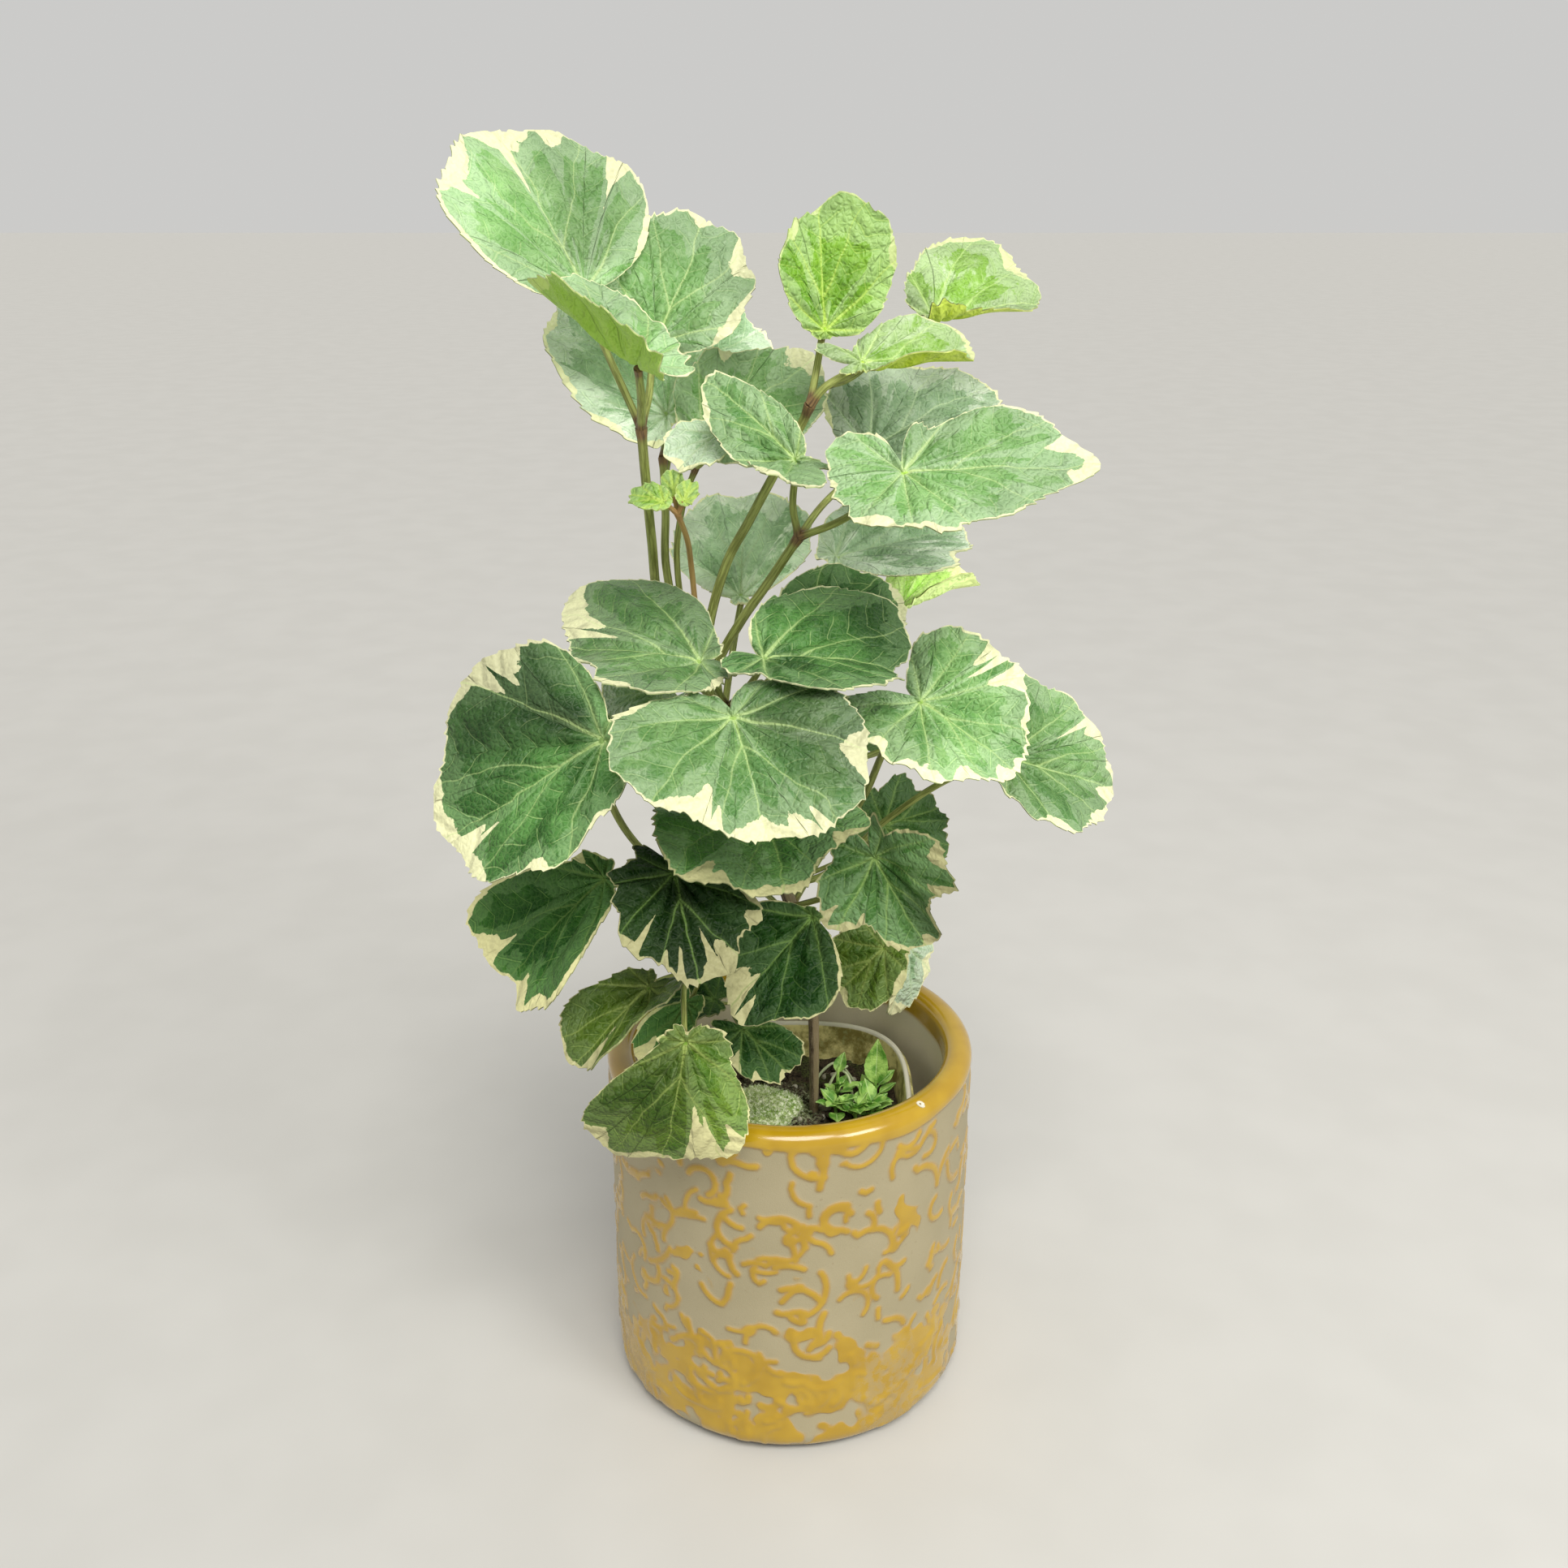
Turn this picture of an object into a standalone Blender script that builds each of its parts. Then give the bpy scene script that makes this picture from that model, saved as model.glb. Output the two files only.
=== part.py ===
"""A potted dinner plate aralia: variegated round leaves on branching petioles, in a nursery pot inside a glazed
ceramic pot. Metres, +Z up, the origin at the centre of the ceramic pot's underside, the front towards -Y."""

import math

import bmesh
import bpy
import numpy as np

MM = 0.001
GAP = 0.3 * MM  # between two pieces that touch
SHARP_ANGLE = math.radians(40)

# Ceramic pot
POT_RADIUS = 65 * MM
POT_HEIGHT = 132 * MM
POT_WALL = 9.5 * MM
POT_FLOOR = 9 * MM
POT_FOOT_ROUND = 8 * MM
POT_SIDES = 40

# Nursery pot inside it: square with round corners, narrower at its foot
LINER_TOP_HALF = 45 * MM
LINER_FOOT_HALF = 33 * MM
LINER_TOP_Z = 112 * MM
LINER_WALL = 1.6 * MM
LINER_RIM_OUT = 1.2 * MM
LINER_FLOOR = 2 * MM
LINER_RIM_DEPTH = 4 * MM
LINER_SQUARENESS = 3.0  # the power of its outline: 2 is a circle, and a higher one is squarer
LINER_SIDES = 32

LINER_FOOT_Z = POT_FLOOR + GAP

SOIL_Z = 98 * MM
SOIL_BUMP = 0.8 * MM
SOIL_LUMP = 8 * MM
STEM_DEPTH = 26 * MM  # how far the stem goes into the soil
STEM_HOLE = 2.2 * MM  # radius
WEED_DEPTH = 6 * MM
WEED_HOLE = 1.1 * MM  # radius
OVER_SOIL = 12 * MM  # how far the cutters of the holes stand out

MOSS_CENTRE = (-10 * MM, 1 * MM)
MOSS_SIZE = (13.5 * MM, 13 * MM, 7 * MM)
MOSS_SIDES = 20

# Plant
BLADE_THICKNESS = 0.8 * MM
MARGIN_POINTS = 36
INNER_POINTS = 12
INNER_SHARE = 0.5
BUD_MARGIN_POINTS = 16
BUD_INNER_POINTS = 6
LEAST_REACH = 0.07  # how near the margin comes to the petiole, as a share of the leaf's length
WAVE = 0.025  # height of the margin's waves, as a share of the distance from the petiole
TOOTH = 0.012  # height of the margin's teeth, as a share of that distance
STEM_SIDES = 8
PETIOLE_SIDES = 5
STEM_HEAD = 2.6 * MM  # radius of the swelling at the stem's upper end
JOINT_SWELL = 1.45  # radius of the swelling where petioles part, as a share of the petiole's

# The eye that the plant is laid out from: a picture 1932 units wide, seen from in front and above
VIEW_WIDTH = 1932.0
VIEW_FOCAL = 1932.0
VIEW_PITCH = math.radians(21.3)
VIEW_EYE = np.array([-2.0, -494.0, 421.0]) * MM
VIEW_FORWARD = np.array([0.0, math.cos(VIEW_PITCH), -math.sin(VIEW_PITCH)])
VIEW_UP = np.array([0.0, math.sin(VIEW_PITCH), math.cos(VIEW_PITCH)])
VIEW_RIGHT = np.array([1.0, 0.0, 0.0])

# How far a blade reaches from its petiole, as shares of its length, at the twelve hours of a clock whose
# noon is the tip, read from above
ROUND = (1, .93, .72, .5, .36, .3, .28, .3, .36, .5, .72, .93)
BUD = (1, .8, .5, .35, .25, .22, .2, .22, .25, .35, .5, .8)

# Each leaf: where its petiole joins it and where its tip points in the picture, how far behind the pot's axis
# it hangs (mm), its length (mm), which way it faces (degrees to the right, degrees up) and its margin.
# fold is how far its left and right halves rise (degrees), crease an (hour, degrees) line that it bends along.
LEAVES = {
    "top_left_1": dict(base=(720, 360), tip=(618, 139), y=4, length=58, face=(28, 31),
                       margin=(1, .9, .65, .1, .1, .3, .25, .15, .1, .2, .6, .95),
                       fold=(11, 1), droop=10),
    "top_left_2": dict(base=(788, 448), tip=(662, 372), y=-38, length=41, face=(50, 66),
                       margin=(1, .85, .55, .4, .35, .4, .4, .4, .45, .5, .65, .85), fold=(45, 15), droop=-15),
    "top_left_3": dict(base=(808, 424), tip=(873, 260), y=12, length=45, face=(2, 22),
                       margin=(1, .85, .55, .2, .1, .1, .1, .1, .15, .25, .6, .9),
                       fold=(9, 8), droop=15),
    "top_back_1": dict(base=(822, 512), tip=(686, 368), y=33, length=55, face=(19, 37),
                       margin=(1, .9, .65, .45, .25, .15, .1, .1, .25, .35, .5, .7),
                       fold=(13, 12), droop=15),
    "top_back_2": dict(base=(829, 462), tip=(938, 398), y=58, length=37, face=(0, 35), margin=ROUND),
    "centre_back_1": dict(base=(866, 547), tip=(997, 430), y=24, length=47, face=(-8, 27),
                          margin=(1, .85, .5, .2, .1, .1, .15, .1, .1, .3, .55, .7),
                          fold=(12, 13), droop=18),
    "centre_back_2": dict(base=(886, 536), tip=(850, 557), y=12, length=20, face=(0, 70), margin=ROUND),
    "right_high_1": dict(base=(981, 567), tip=(880, 468), y=-12, length=40, face=(-3, 35),
                         margin=(1, .45, .2, .1, .1, .3, .65, .85, .6, .45, .4, .65),
                         fold=(5, 7), droop=7, crease=((10.5, 52),)),
    "right_high_2": dict(base=(1072, 555), tip=(1224, 453), y=28, length=50, face=(-8, 43),
                         margin=(1, .8, .65, .5, .35, .2, .15, .1, .25, .5, .6, .7),
                         fold=(13, 12), droop=18),
    "right_high_3": dict(base=(1113, 583), tip=(1338, 567), y=-28, length=55, face=(-9, 57),
                         margin=(1, .65, .55, .45, .45, .4, .4, .45, .4, .6, .35, .75),
                         fold=(13, 4), droop=6, notch_at=8.8),
    "young_1": dict(base=(1016, 407), tip=(1009, 250), y=8, length=37, face=(15, 8),
                    margin=(1, 1.05, .65, .35, .1, .1, .1, .1, .1, .15, .35, .75),
                    fold=(14, 15), droop=-4),
    "young_2": dict(base=(1061, 447), tip=(1191, 430), y=5, length=36, face=(4, 42),
                    margin=(1, .75, .25, .1, .15, .25, .45, .45, .15, .2, .35, .75), fold=(5, 58), droop=4),
    "young_3": dict(base=(1149, 391), tip=(1280, 364), y=34, length=38, face=(4, 52),
                    margin=(1, .4, .3, .3, .25, .2, .1, .1, .3, .55, 1, 1.15),
                    fold=(4, 73), droop=13),
    "inner_back_1": dict(base=(913, 735), tip=(914, 600), y=45, length=40, face=(-10, 28),
                         margin=(1, .95, .75, .1, .1, .1, .1, .1, .1, .15, .7, .95),
                         fold=(11, 12), droop=19),
    "inner_right_1": dict(base=(1030, 688), tip=(1193, 636), y=36, length=52, face=(-7, 68),
                          margin=(1, .8, .7, .1, .1, .1, .15, .15, .15, .25, .5, .9),
                          droop=15),
    "inner_right_2": dict(base=(1112, 744), tip=(1203, 702), y=38, length=32, face=(0, 60),
                          margin=(1, .75, .35, .25, .2, .2, .2, .22, .25, .35, .65, .95), fold=(15, 60)),
    "inner_right_3": dict(base=(985, 790), tip=(1113, 728), y=-8, length=40, face=(-1, 49),
                          margin=(1, .8, .65, .5, .4, .3, .25, .25, .3, .4, .6, .85),
                          fold=(11, 12), droop=19),
    "middle_1": dict(base=(941, 812), tip=(1123, 798), y=-30, length=44, face=(-7, 77),
                     margin=(1, .9, .75, .4, .3, .3, .3, .3, .35, .5, .8, 1.15), fold=(18, 11), notch_at=7.8),
    "middle_2": dict(base=(863, 816), tip=(693, 776), y=-21, length=44, face=(20, 68),
                     margin=(1, 1.3, .95, .4, .25, .3, .3, .25, .4, .65, .85, .8),
                     fold=(17, 4), droop=18, notch_at=5),
    "middle_3": dict(base=(903, 884), tip=(950, 1025), y=-51, length=44, face=(-2, 61),
                     margin=(1, .9, .95, .85, .45, .35, .4, .35, .4, .65, .95, 1.1),
                     fold=(12, 11), droop=19),
    "left_1": dict(base=(744, 912), tip=(532, 1036), y=-50, length=62, face=(-20, 35),
                   margin=(1, .9, .8, .55, .15, .1, .1, .15, .15, .3, .5, .8),
                   fold=(11, 6), droop=17),
    "left_2": dict(base=(746, 1083), tip=(610, 1201), y=-35, length=49, face=(-30, 38),
                   margin=(1, 1.05, .35, .25, .15, .15, .2, .2, .15, .15, .4, .95), fold=(20, 17)),
    "left_back_1": dict(base=(815, 850), tip=(735, 856), y=0, length=21, face=(0, 55), margin=ROUND),
    "low_front_1": dict(base=(831, 1077), tip=(866, 1206), y=-50, length=39, face=(1, 62),
                        margin=(1, .9, .65, .55, .4, .45, .25, .2, .25, .3, .65, .95),
                        fold=(10, 8), droop=21, lobes=.16),
    "low_front_2": dict(base=(940, 1005), tip=(970, 1082), y=-28, length=40, face=(3, 83),
                        margin=(1, 1.2, 1.15, .9, .6, .4, .3, .35, .5, .7, .9, .85),
                        fold=(13, 15), droop=17, lobes=.1),
    "low_front_3": dict(base=(1001, 1130), tip=(900, 1241), y=-40, length=40, face=(8, 45),
                        margin=(1, .75, .45, .15, .1, .1, .15, .1, .1, .1, .65, .95),
                        fold=(13, 15), droop=18, lobes=.1),
    "low_right_1": dict(base=(1078, 1056), tip=(1134, 1166), y=-28, length=35, face=(-18, 19),
                        margin=(1, .85, .8, .65, .5, .6, .65, .45, .3, .8, .95, .85),
                        fold=(37, 17), droop=28, lobes=.25, lobe_count=5),
    "low_right_2": dict(base=(1090, 1018), tip=(1162, 990), y=15, length=24, face=(10, 45),
                        margin=(1, 1.1, .9, .65, .45, .3, .3, .35, .5, .65, .75, 1),
                        fold=(13, 13), droop=21, lobes=.2),
    "right_1": dict(base=(1134, 865), tip=(1254, 939), y=-20, length=38, face=(-1, 53),
                    margin=(1, .85, .8, .7, .7, .6, .45, .3, .65, .75, .85, .9),
                    fold=(15, 13), droop=17),
    "right_2": dict(base=(1240, 935), tip=(1385, 966), y=0, length=43, face=(22, 41),
                    margin=(1, .85, .6, .35, .2, .2, .25, .35, .5, .7, .75, .9),
                    fold=(10, 12), droop=19),
    "low_right_3": dict(base=(1090, 1168), tip=(1030, 1225), y=-5, length=24, face=(-10, 30), margin=ROUND),
    "low_right_4": dict(base=(1118, 1165), tip=(1108, 1256), y=14, length=27, face=(49, 8),
                        margin=(1, .4, .1, .1, .15, .15, .2, .3, .45, .5, .55, .8),
                        fold=(8, 13), droop=21),
    "low_left_1": dict(base=(800, 1217), tip=(702, 1309), y=-48, length=34, face=(-12, 54),
                       margin=(1, .9, .45, .3, .2, .2, .25, .35, .5, .55, .45, .75),
                       fold=(41, 2), droop=19),
    "low_left_2": dict(base=(846, 1236), tip=(794, 1314), y=-20, length=26, face=(-1, 45),
                       margin=(1, .75, .15, .1, .15, .25, .25, .25, .25, .25, .3, .6),
                       fold=(13, 12)),
    "low_left_3": dict(base=(880, 1232), tip=(812, 1222), y=-10, length=20, face=(0, 70), margin=ROUND),
    "rim_left_1": dict(base=(845, 1283), tip=(824, 1429), y=-72, length=43, face=(10, 21),
                       margin=(1, 1.25, .35, .2, .15, .15, .15, .15, .25, .35, .5, 1.1),
                       fold=(-3, -13), droop=40, lobes=.1),
    "rim_left_2": dict(base=(915, 1268), tip=(974, 1323), y=-30, length=22, face=(4, 44),
                       margin=(1, .85, .65, .4, .35, .5, .6, .45, .3, .2, .4, .95),
                       fold=(11, 12), droop=19),
    # Behind the rest, where the picture doesn't show them: placed in mm, with the way that each one points
    "behind_1": dict(at=(24, 52, 271), heading=(213, -32), length=45, face=(213, 65), margin=ROUND),
    "behind_2": dict(at=(55, 53, 231.5), heading=(199, -9), length=46, face=(199, 68), margin=ROUND),
    "behind_3": dict(at=(-52, 36, 240), heading=(-140, -18), length=45, face=(-140, 60), margin=ROUND),
    "behind_4": dict(at=(20, 46, 198), heading=(170, -20), length=40, face=(170, 58), margin=ROUND, lobes=.15),
    "behind_5": dict(at=(-16, 44, 176), heading=(-168, -20), length=38, face=(-168, 58), margin=ROUND, lobes=.2),
}

# Young shoots too small to be leaves of their own, fused to the stem's node
SPROUT = {
    "sprout_left": dict(base=(818, 619), tip=(768, 602), y=-12, length=12, face=(0, 50), margin=BUD, notch=0),
    "sprout_upper": dict(base=(832, 613), tip=(824, 568), y=-4, length=9, face=(0, 15), margin=BUD, notch=0),
    "sprout_right": dict(base=(843, 618), tip=(852, 590), y=-10, length=8, face=(0, 35), margin=BUD, notch=0),
}

# The stem from the soil up, then each petiole from the stem to its leaf: (across, down, depth in mm) in the picture
STEM = ((1003, 1300, -1), (1001, 1240, -1), (990, 1170, 0), (966, 1090, 2), (932, 1000, 5), (902, 925, 7),
        (886, 868, 8))
STEM_FOOT = (9 * MM, 2 * MM)
STEM_RADII = (1.7, 1.7, 1.8, 2.1, 2.3, 2.4, 2.3, 1.9)
PETIOLES = {
    "top_left": dict(path=((886, 868, 8), (840, 815, 22), (812, 745, 27), (803, 666, 14), (795, 584, -4),
                           (790, 527, -8)), radius=1.5),
    "top_left_1": dict(on="top_left", path=((790, 527, -8), (757, 455, 0), (738, 412, 11)), radius=1.1),
    "top_left_2": dict(on="top_left", path=((790, 527, -8), (790, 490, -24)), radius=1.2),
    "top_left_3": dict(on="top_left", path=((790, 527, -8), (799, 490, 0), (803, 455, 12)), radius=1.1),
    "top_back": dict(path=((880, 866, 9), (842, 790, 14), (821, 700, 20), (820, 631, 27), (817, 564, 33)),
                     radius=1.3),
    "top_back_1": dict(on="top_back", path=((818, 590, 29), (826, 545, 39)), radius=.9),
    "top_back_2": dict(on="top_back", path=((817, 564, 33), (825, 502, 57)), radius=1.1),
    "centre_back": dict(path=((884, 866, 9), (848, 780, 15), (834, 690, 21), (842, 620, 26), (858, 575, 27)),
                        radius=1),
    "centre_back_1": dict(on="centre_back", path=((858, 575, 27), (861, 563, 29)), radius=.8),
    "centre_back_2": dict(on="centre_back", path=((858, 575, 27), (864, 572, 18), (880, 552, 14)), radius=.8),
    "young": dict(path=((888, 872, 8), (872, 790, 10), (893, 700, 9), (924, 640, 8), (952, 588, 9),
                        (986, 526, 9), (998, 499, 6)), radius=1.5),
    "young_1": dict(on="young", path=((998, 499, 6), (1007, 450, 13)), radius=1.1),
    "young_2": dict(on="young", path=((998, 499, 6), (1018, 476, 5)), radius=1.2),
    "young_3": dict(on="young_2", path=((1014, 480, 5), (1050, 465, 22), (1100, 425, 34)), radius=.9),
    "right_high": dict(path=((888, 876, 8), (884, 820, 8), (912, 767, 7), (945, 720, 5), (984, 662, 2)),
                       radius=1.5),
    "right_high_1": dict(on="right_high", path=((984, 662, 2), (977, 625, -1), (979, 592, -6)), radius=1.1),
    "right_high_2": dict(on="right_high", path=((984, 662, 2), (1012, 624, 14), (1048, 588, 31)), radius=1.1),
    "right_high_3": dict(on="right_high", path=((984, 662, 2), (1035, 642, -6), (1085, 610, -16)), radius=1.1),
    "inner_back_1": dict(path=((892, 880, 9), (900, 820, 22), (908, 770, 40)), radius=1.1),
    "inner_right": dict(path=((897, 900, 8), (925, 862, 16), (970, 815, 26), (1000, 770, 32)), radius=1.2),
    "inner_right_1": dict(on="inner_right", path=((1000, 770, 32), (1015, 725, 35)), radius=1),
    "inner_right_2": dict(on="inner_right", path=((985, 790, 29), (1045, 775, 36), (1090, 760, 40)), radius=.8),
    "inner_right_3": dict(on="inner_right", path=((925, 862, 16), (955, 830, 12)), radius=1),
    "middle": dict(path=((900, 915, 7), (897, 890, -8), (897, 872, -20)), radius=1.4),
    "middle_1": dict(on="middle", path=((897, 872, -20), (925, 842, -26)), radius=1),
    "middle_2": dict(on="middle", path=((897, 872, -20), (878, 842, -20)), radius=1),
    "middle_3": dict(on="middle", path=((897, 872, -20), (901, 892, -40)), radius=1.1),
    "left_1": dict(path=((975, 1120, 1), (860, 1105, -4), (788, 1044, -12), (753, 990, -22), (745, 945, -36)),
                   radius=1.2),
    "left_2": dict(path=((978, 1130, 1), (850, 1120, -8), (775, 1095, -20)), radius=1.1),
    "left_back_1": dict(path=((893, 893, 7), (850, 875, 5)), radius=.8),
    "low_front_1": dict(path=((985, 1150, 0), (900, 1125, -14), (848, 1095, -34)), radius=1.1),
    "low_front_2": dict(path=((935, 1008, 5), (938, 1020, -14)), radius=1.1),
    "low_front_3": dict(path=((992, 1178, 0), (1002, 1150, -24)), radius=1),
    "low_right_1": dict(path=((977, 1125, 1), (1030, 1100, -8), (1066, 1070, -18)), radius=1),
    "low_right_2": dict(path=((966, 1090, 2), (1045, 1055, 12)), radius=.8),
    "right_1": dict(path=((955, 1062, 3), (1015, 1045, 4), (1062, 985, 2), (1089, 926, -4), (1118, 885, -12)),
                    radius=1.2),
    "right_2": dict(path=((969, 1100, 2), (1020, 1075, 5), (1090, 1012, 7), (1165, 962, 5)), radius=1.1),
    "low_right": dict(path=((997, 1210, -1), (1040, 1185, 4)), radius=.9),
    "low_right_3": dict(on="low_right", path=((1040, 1185, 4), (1076, 1160, 5)), radius=.7),
    "low_right_4": dict(on="low_right", path=((1040, 1185, 4), (1095, 1158, 16)), radius=.7),
    "low_left": dict(path=((994, 1188, -1), (930, 1185, -12), (870, 1190, -26)), radius=1),
    "low_left_1": dict(on="low_left", path=((870, 1190, -26), (812, 1208, -38)), radius=.8),
    "low_left_2": dict(on="low_left", path=((870, 1190, -26), (856, 1222, -16)), radius=.7),
    "low_left_3": dict(on="low_left", path=((930, 1185, -12), (908, 1232, 0)), radius=.6),
    "rim_left_1": dict(on="low_left", path=((870, 1190, -26), (845, 1210, -46), (843, 1255, -64)), radius=.9),
    "rim_left_2": dict(path=((998, 1222, -1), (940, 1225, -12), (905, 1245, -22)), radius=.7),
    "behind_1": dict(on="inner_right", points=((7.6, 32, 275), (17, 44, 264)), radius=1),
    "behind_2": dict(points=((-6, 6, 236), (22, 30, 226), (44, 46, 228)), radius=1.1),
    "behind_3": dict(points=((-10, 7, 240), (-32, 22, 238), (-46, 31, 236)), radius=1.1),
    "behind_4": dict(points=((4, 2, 186), (12, 24, 192), (18, 40, 193)), radius=1),
    "behind_5": dict(points=((6, 0, 168), (-4, 22, 172), (-12, 38, 172)), radius=1),
    "sprout": dict(path=((884, 868, 9), (862, 780, 13), (852, 700, 10), (847, 666, 1), (835, 633, -8)), radius=.9),
    "sprout_left": dict(on="sprout", path=((835, 633, -8), (818, 619, -12)), radius=.7),
    "sprout_upper": dict(on="sprout", path=((835, 633, -8), (832, 613, -4)), radius=.7),
    "sprout_right": dict(on="sprout", path=((835, 633, -8), (843, 618, -10)), radius=.7),
}

WEED_STALK = (0.7 * MM, 0.55 * MM)
WEED_POINTS = 14
# Weeds in the soil: where each stalk stands, how its leaf points (heading, rise in degrees) and its sizes in mm
WEEDS = (
    dict(foot=(32, 8), height=8, heading=80, rise=75, length=17, width=9),
    dict(foot=(17, -2), height=6, heading=-50, rise=25, length=8, width=6),
    dict(foot=(24, -6), height=6, heading=-80, rise=20, length=8, width=6),
    dict(foot=(30, -3), height=6, heading=-30, rise=30, length=9, width=6),
    dict(foot=(18, 9), height=12, heading=60, rise=50, length=8, width=5),
)


def sight(across, down):
    """The direction that a place in the picture is seen in."""
    right, drop = across - VIEW_WIDTH / 2, down - VIEW_WIDTH / 2
    way = VIEW_FORWARD + (VIEW_RIGHT * right - VIEW_UP * drop) / VIEW_FOCAL
    return way / np.linalg.norm(way)


def seen_at(across, down, depth):
    way = sight(across, down)
    return VIEW_EYE + way * (depth - VIEW_EYE[1]) / way[1]


def seen_on(across, down, point, normal):
    way = sight(across, down)
    return VIEW_EYE + way * np.dot(point - VIEW_EYE, normal) / np.dot(way, normal)


def facing(azimuth, elevation):
    """A direction so many degrees to the right of the front and so many up."""
    a, e = math.radians(azimuth), math.radians(elevation)
    return np.array([math.sin(a) * math.cos(e), -math.cos(a) * math.cos(e), math.sin(e)])


def smooth(share):
    share = np.clip(share, 0, 1)
    return share * share * (3 - 2 * share)


def clock(values, angle):
    """A smooth closed curve through values at equal steps of a turn."""
    values = np.asarray(values, float)
    step = (angle / (2 * np.pi) * len(values)) % len(values)
    first = np.floor(step).astype(int)
    f = step - first
    a, b, c, d = (values[(first + k) % len(values)] for k in (-1, 0, 1, 2))
    return b + .5 * f * (c - a + f * (2 * a - 5 * b + 4 * c - d + f * (3 * (b - c) + d - a)))


def ripple(angle, seed, low, high):
    """A sum of waves round the margin, from low to high in number, with amounts drawn from the seed."""
    draw = np.random.default_rng(seed)
    total = np.zeros_like(angle)
    for count in range(low, high):
        total += draw.uniform(-1, 1) * np.cos(count * angle + draw.uniform(0, 2 * np.pi))
    return total / math.sqrt(high - low)


def reach(leaf, angle):
    """Share of the leaf's length from the petiole to the margin, at an angle clockwise from the tip."""
    off = (angle + np.pi) % (2 * np.pi) - np.pi
    share = clock(leaf["margin"], angle)
    from_notch = (angle - leaf.get("notch_at", 6) * np.pi / 6 + np.pi) % (2 * np.pi) - np.pi
    share *= 1 - leaf.get("notch", .85) * np.exp(-(from_notch / math.radians(20)) ** 2)
    if "lobes" in leaf:
        near = (1 + np.cos(off * leaf.get("lobe_count", 7))) / 2
        fade = np.clip((math.radians(150) - np.abs(off)) / .4, 0, 1)
        share *= 1 - leaf["lobes"] * (1 - near ** .6) * fade
    return np.maximum(share, LEAST_REACH)


def leaf_frame(leaf):
    """Where the petiole joins, the directions to the tip and to the left, the upper face's normal, the length."""
    normal = facing(*leaf["face"])
    if "at" in leaf:
        base = np.array(leaf["at"]) * MM
        way = facing(*leaf["heading"])
        ahead = way - normal * np.dot(way, normal)
    else:
        base = seen_at(*leaf["base"], leaf["y"] * MM)
        ahead = seen_on(*leaf["tip"], base, normal) - base
    ahead /= np.linalg.norm(ahead)
    return base, ahead, np.cross(normal, ahead), normal, leaf["length"] * MM


def blade_points(leaf, angle, share, seed, tooth=0.0):
    """Points of the blade's middle surface, at angles clockwise from the tip and shares of the way to the margin."""
    base, ahead, left, normal, size = leaf_frame(leaf)
    full = reach(leaf, angle)
    out = share * full * (1 + tooth) * size
    x, y = out * np.cos(angle), -out * np.sin(angle)
    rise_left, rise_right = leaf.get("fold", (12, 12))
    lean = np.radians(np.where(y > 0, rise_left, rise_right)) * smooth(np.abs(y) / (.35 * size))
    z = np.abs(y) * np.sin(lean)
    y = y * np.cos(lean)
    for hour, degrees in leaf.get("crease", ()):
        c, s = math.cos(-hour * math.pi / 6), math.sin(-hour * math.pi / 6)
        side = -1 if hour < 6 else 1
        along, across = x * c + y * s, side * (y * c - x * s)
        beyond = np.maximum(across, 0)
        turn = math.radians(degrees) * smooth(beyond / (.2 * size))
        z = z + beyond * np.sin(turn)
        across = side * np.where(across > 0, beyond * np.cos(turn), across)
        x, y = along * c - across * s, along * s + across * c
    z = z + WAVE * out * share * ripple(angle, seed, 3, 8)
    droop = math.radians(leaf.get("droop", 20))
    if droop:
        radius = size / droop
        x, z = (radius + z) * np.sin(x / radius), (radius + z) * np.cos(x / radius) - radius
    return base + np.outer(x, ahead) + np.outer(y, left) + np.outer(z, normal)


def ring_faces(inner, outer):
    """Triangles between two rings of point numbers, the inner one a single point or a ring of fewer points."""
    if len(inner) == 1:
        return [(inner[0], outer[k], outer[(k + 1) % len(outer)]) for k in range(len(outer))]
    faces, i, k = [], 0, 0
    while i < len(inner) or k < len(outer):
        a, b = inner[i % len(inner)], outer[k % len(outer)]
        if i < len(inner) and (k >= len(outer) or (i + 1) * len(outer) <= (k + 1) * len(inner)):
            faces.append((a, b, inner[(i + 1) % len(inner)]))
            i += 1
        else:
            faces.append((a, b, outer[(k + 1) % len(outer)]))
            k += 1
    return faces


def thicken(points, faces, rim, thickness):
    """A closed shell on both sides of a sheet, with its two faces split into triangles alike."""
    normals = np.zeros_like(points)
    for a, b, c in faces:
        across = np.cross(points[b] - points[a], points[c] - points[a])
        for corner in (a, b, c):
            normals[corner] += across
    normals /= np.linalg.norm(normals, axis=1)[:, None]
    count = len(points)
    both = np.vstack([points + normals * thickness / 2, points - normals * thickness / 2])
    shell = list(faces) + [(c + count, b + count, a + count) for a, b, c in faces]
    for a, b in zip(rim, rim[1:] + rim[:1]):
        shell += [(a, a + count, b), (b, a + count, b + count)]
    return both, shell


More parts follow.
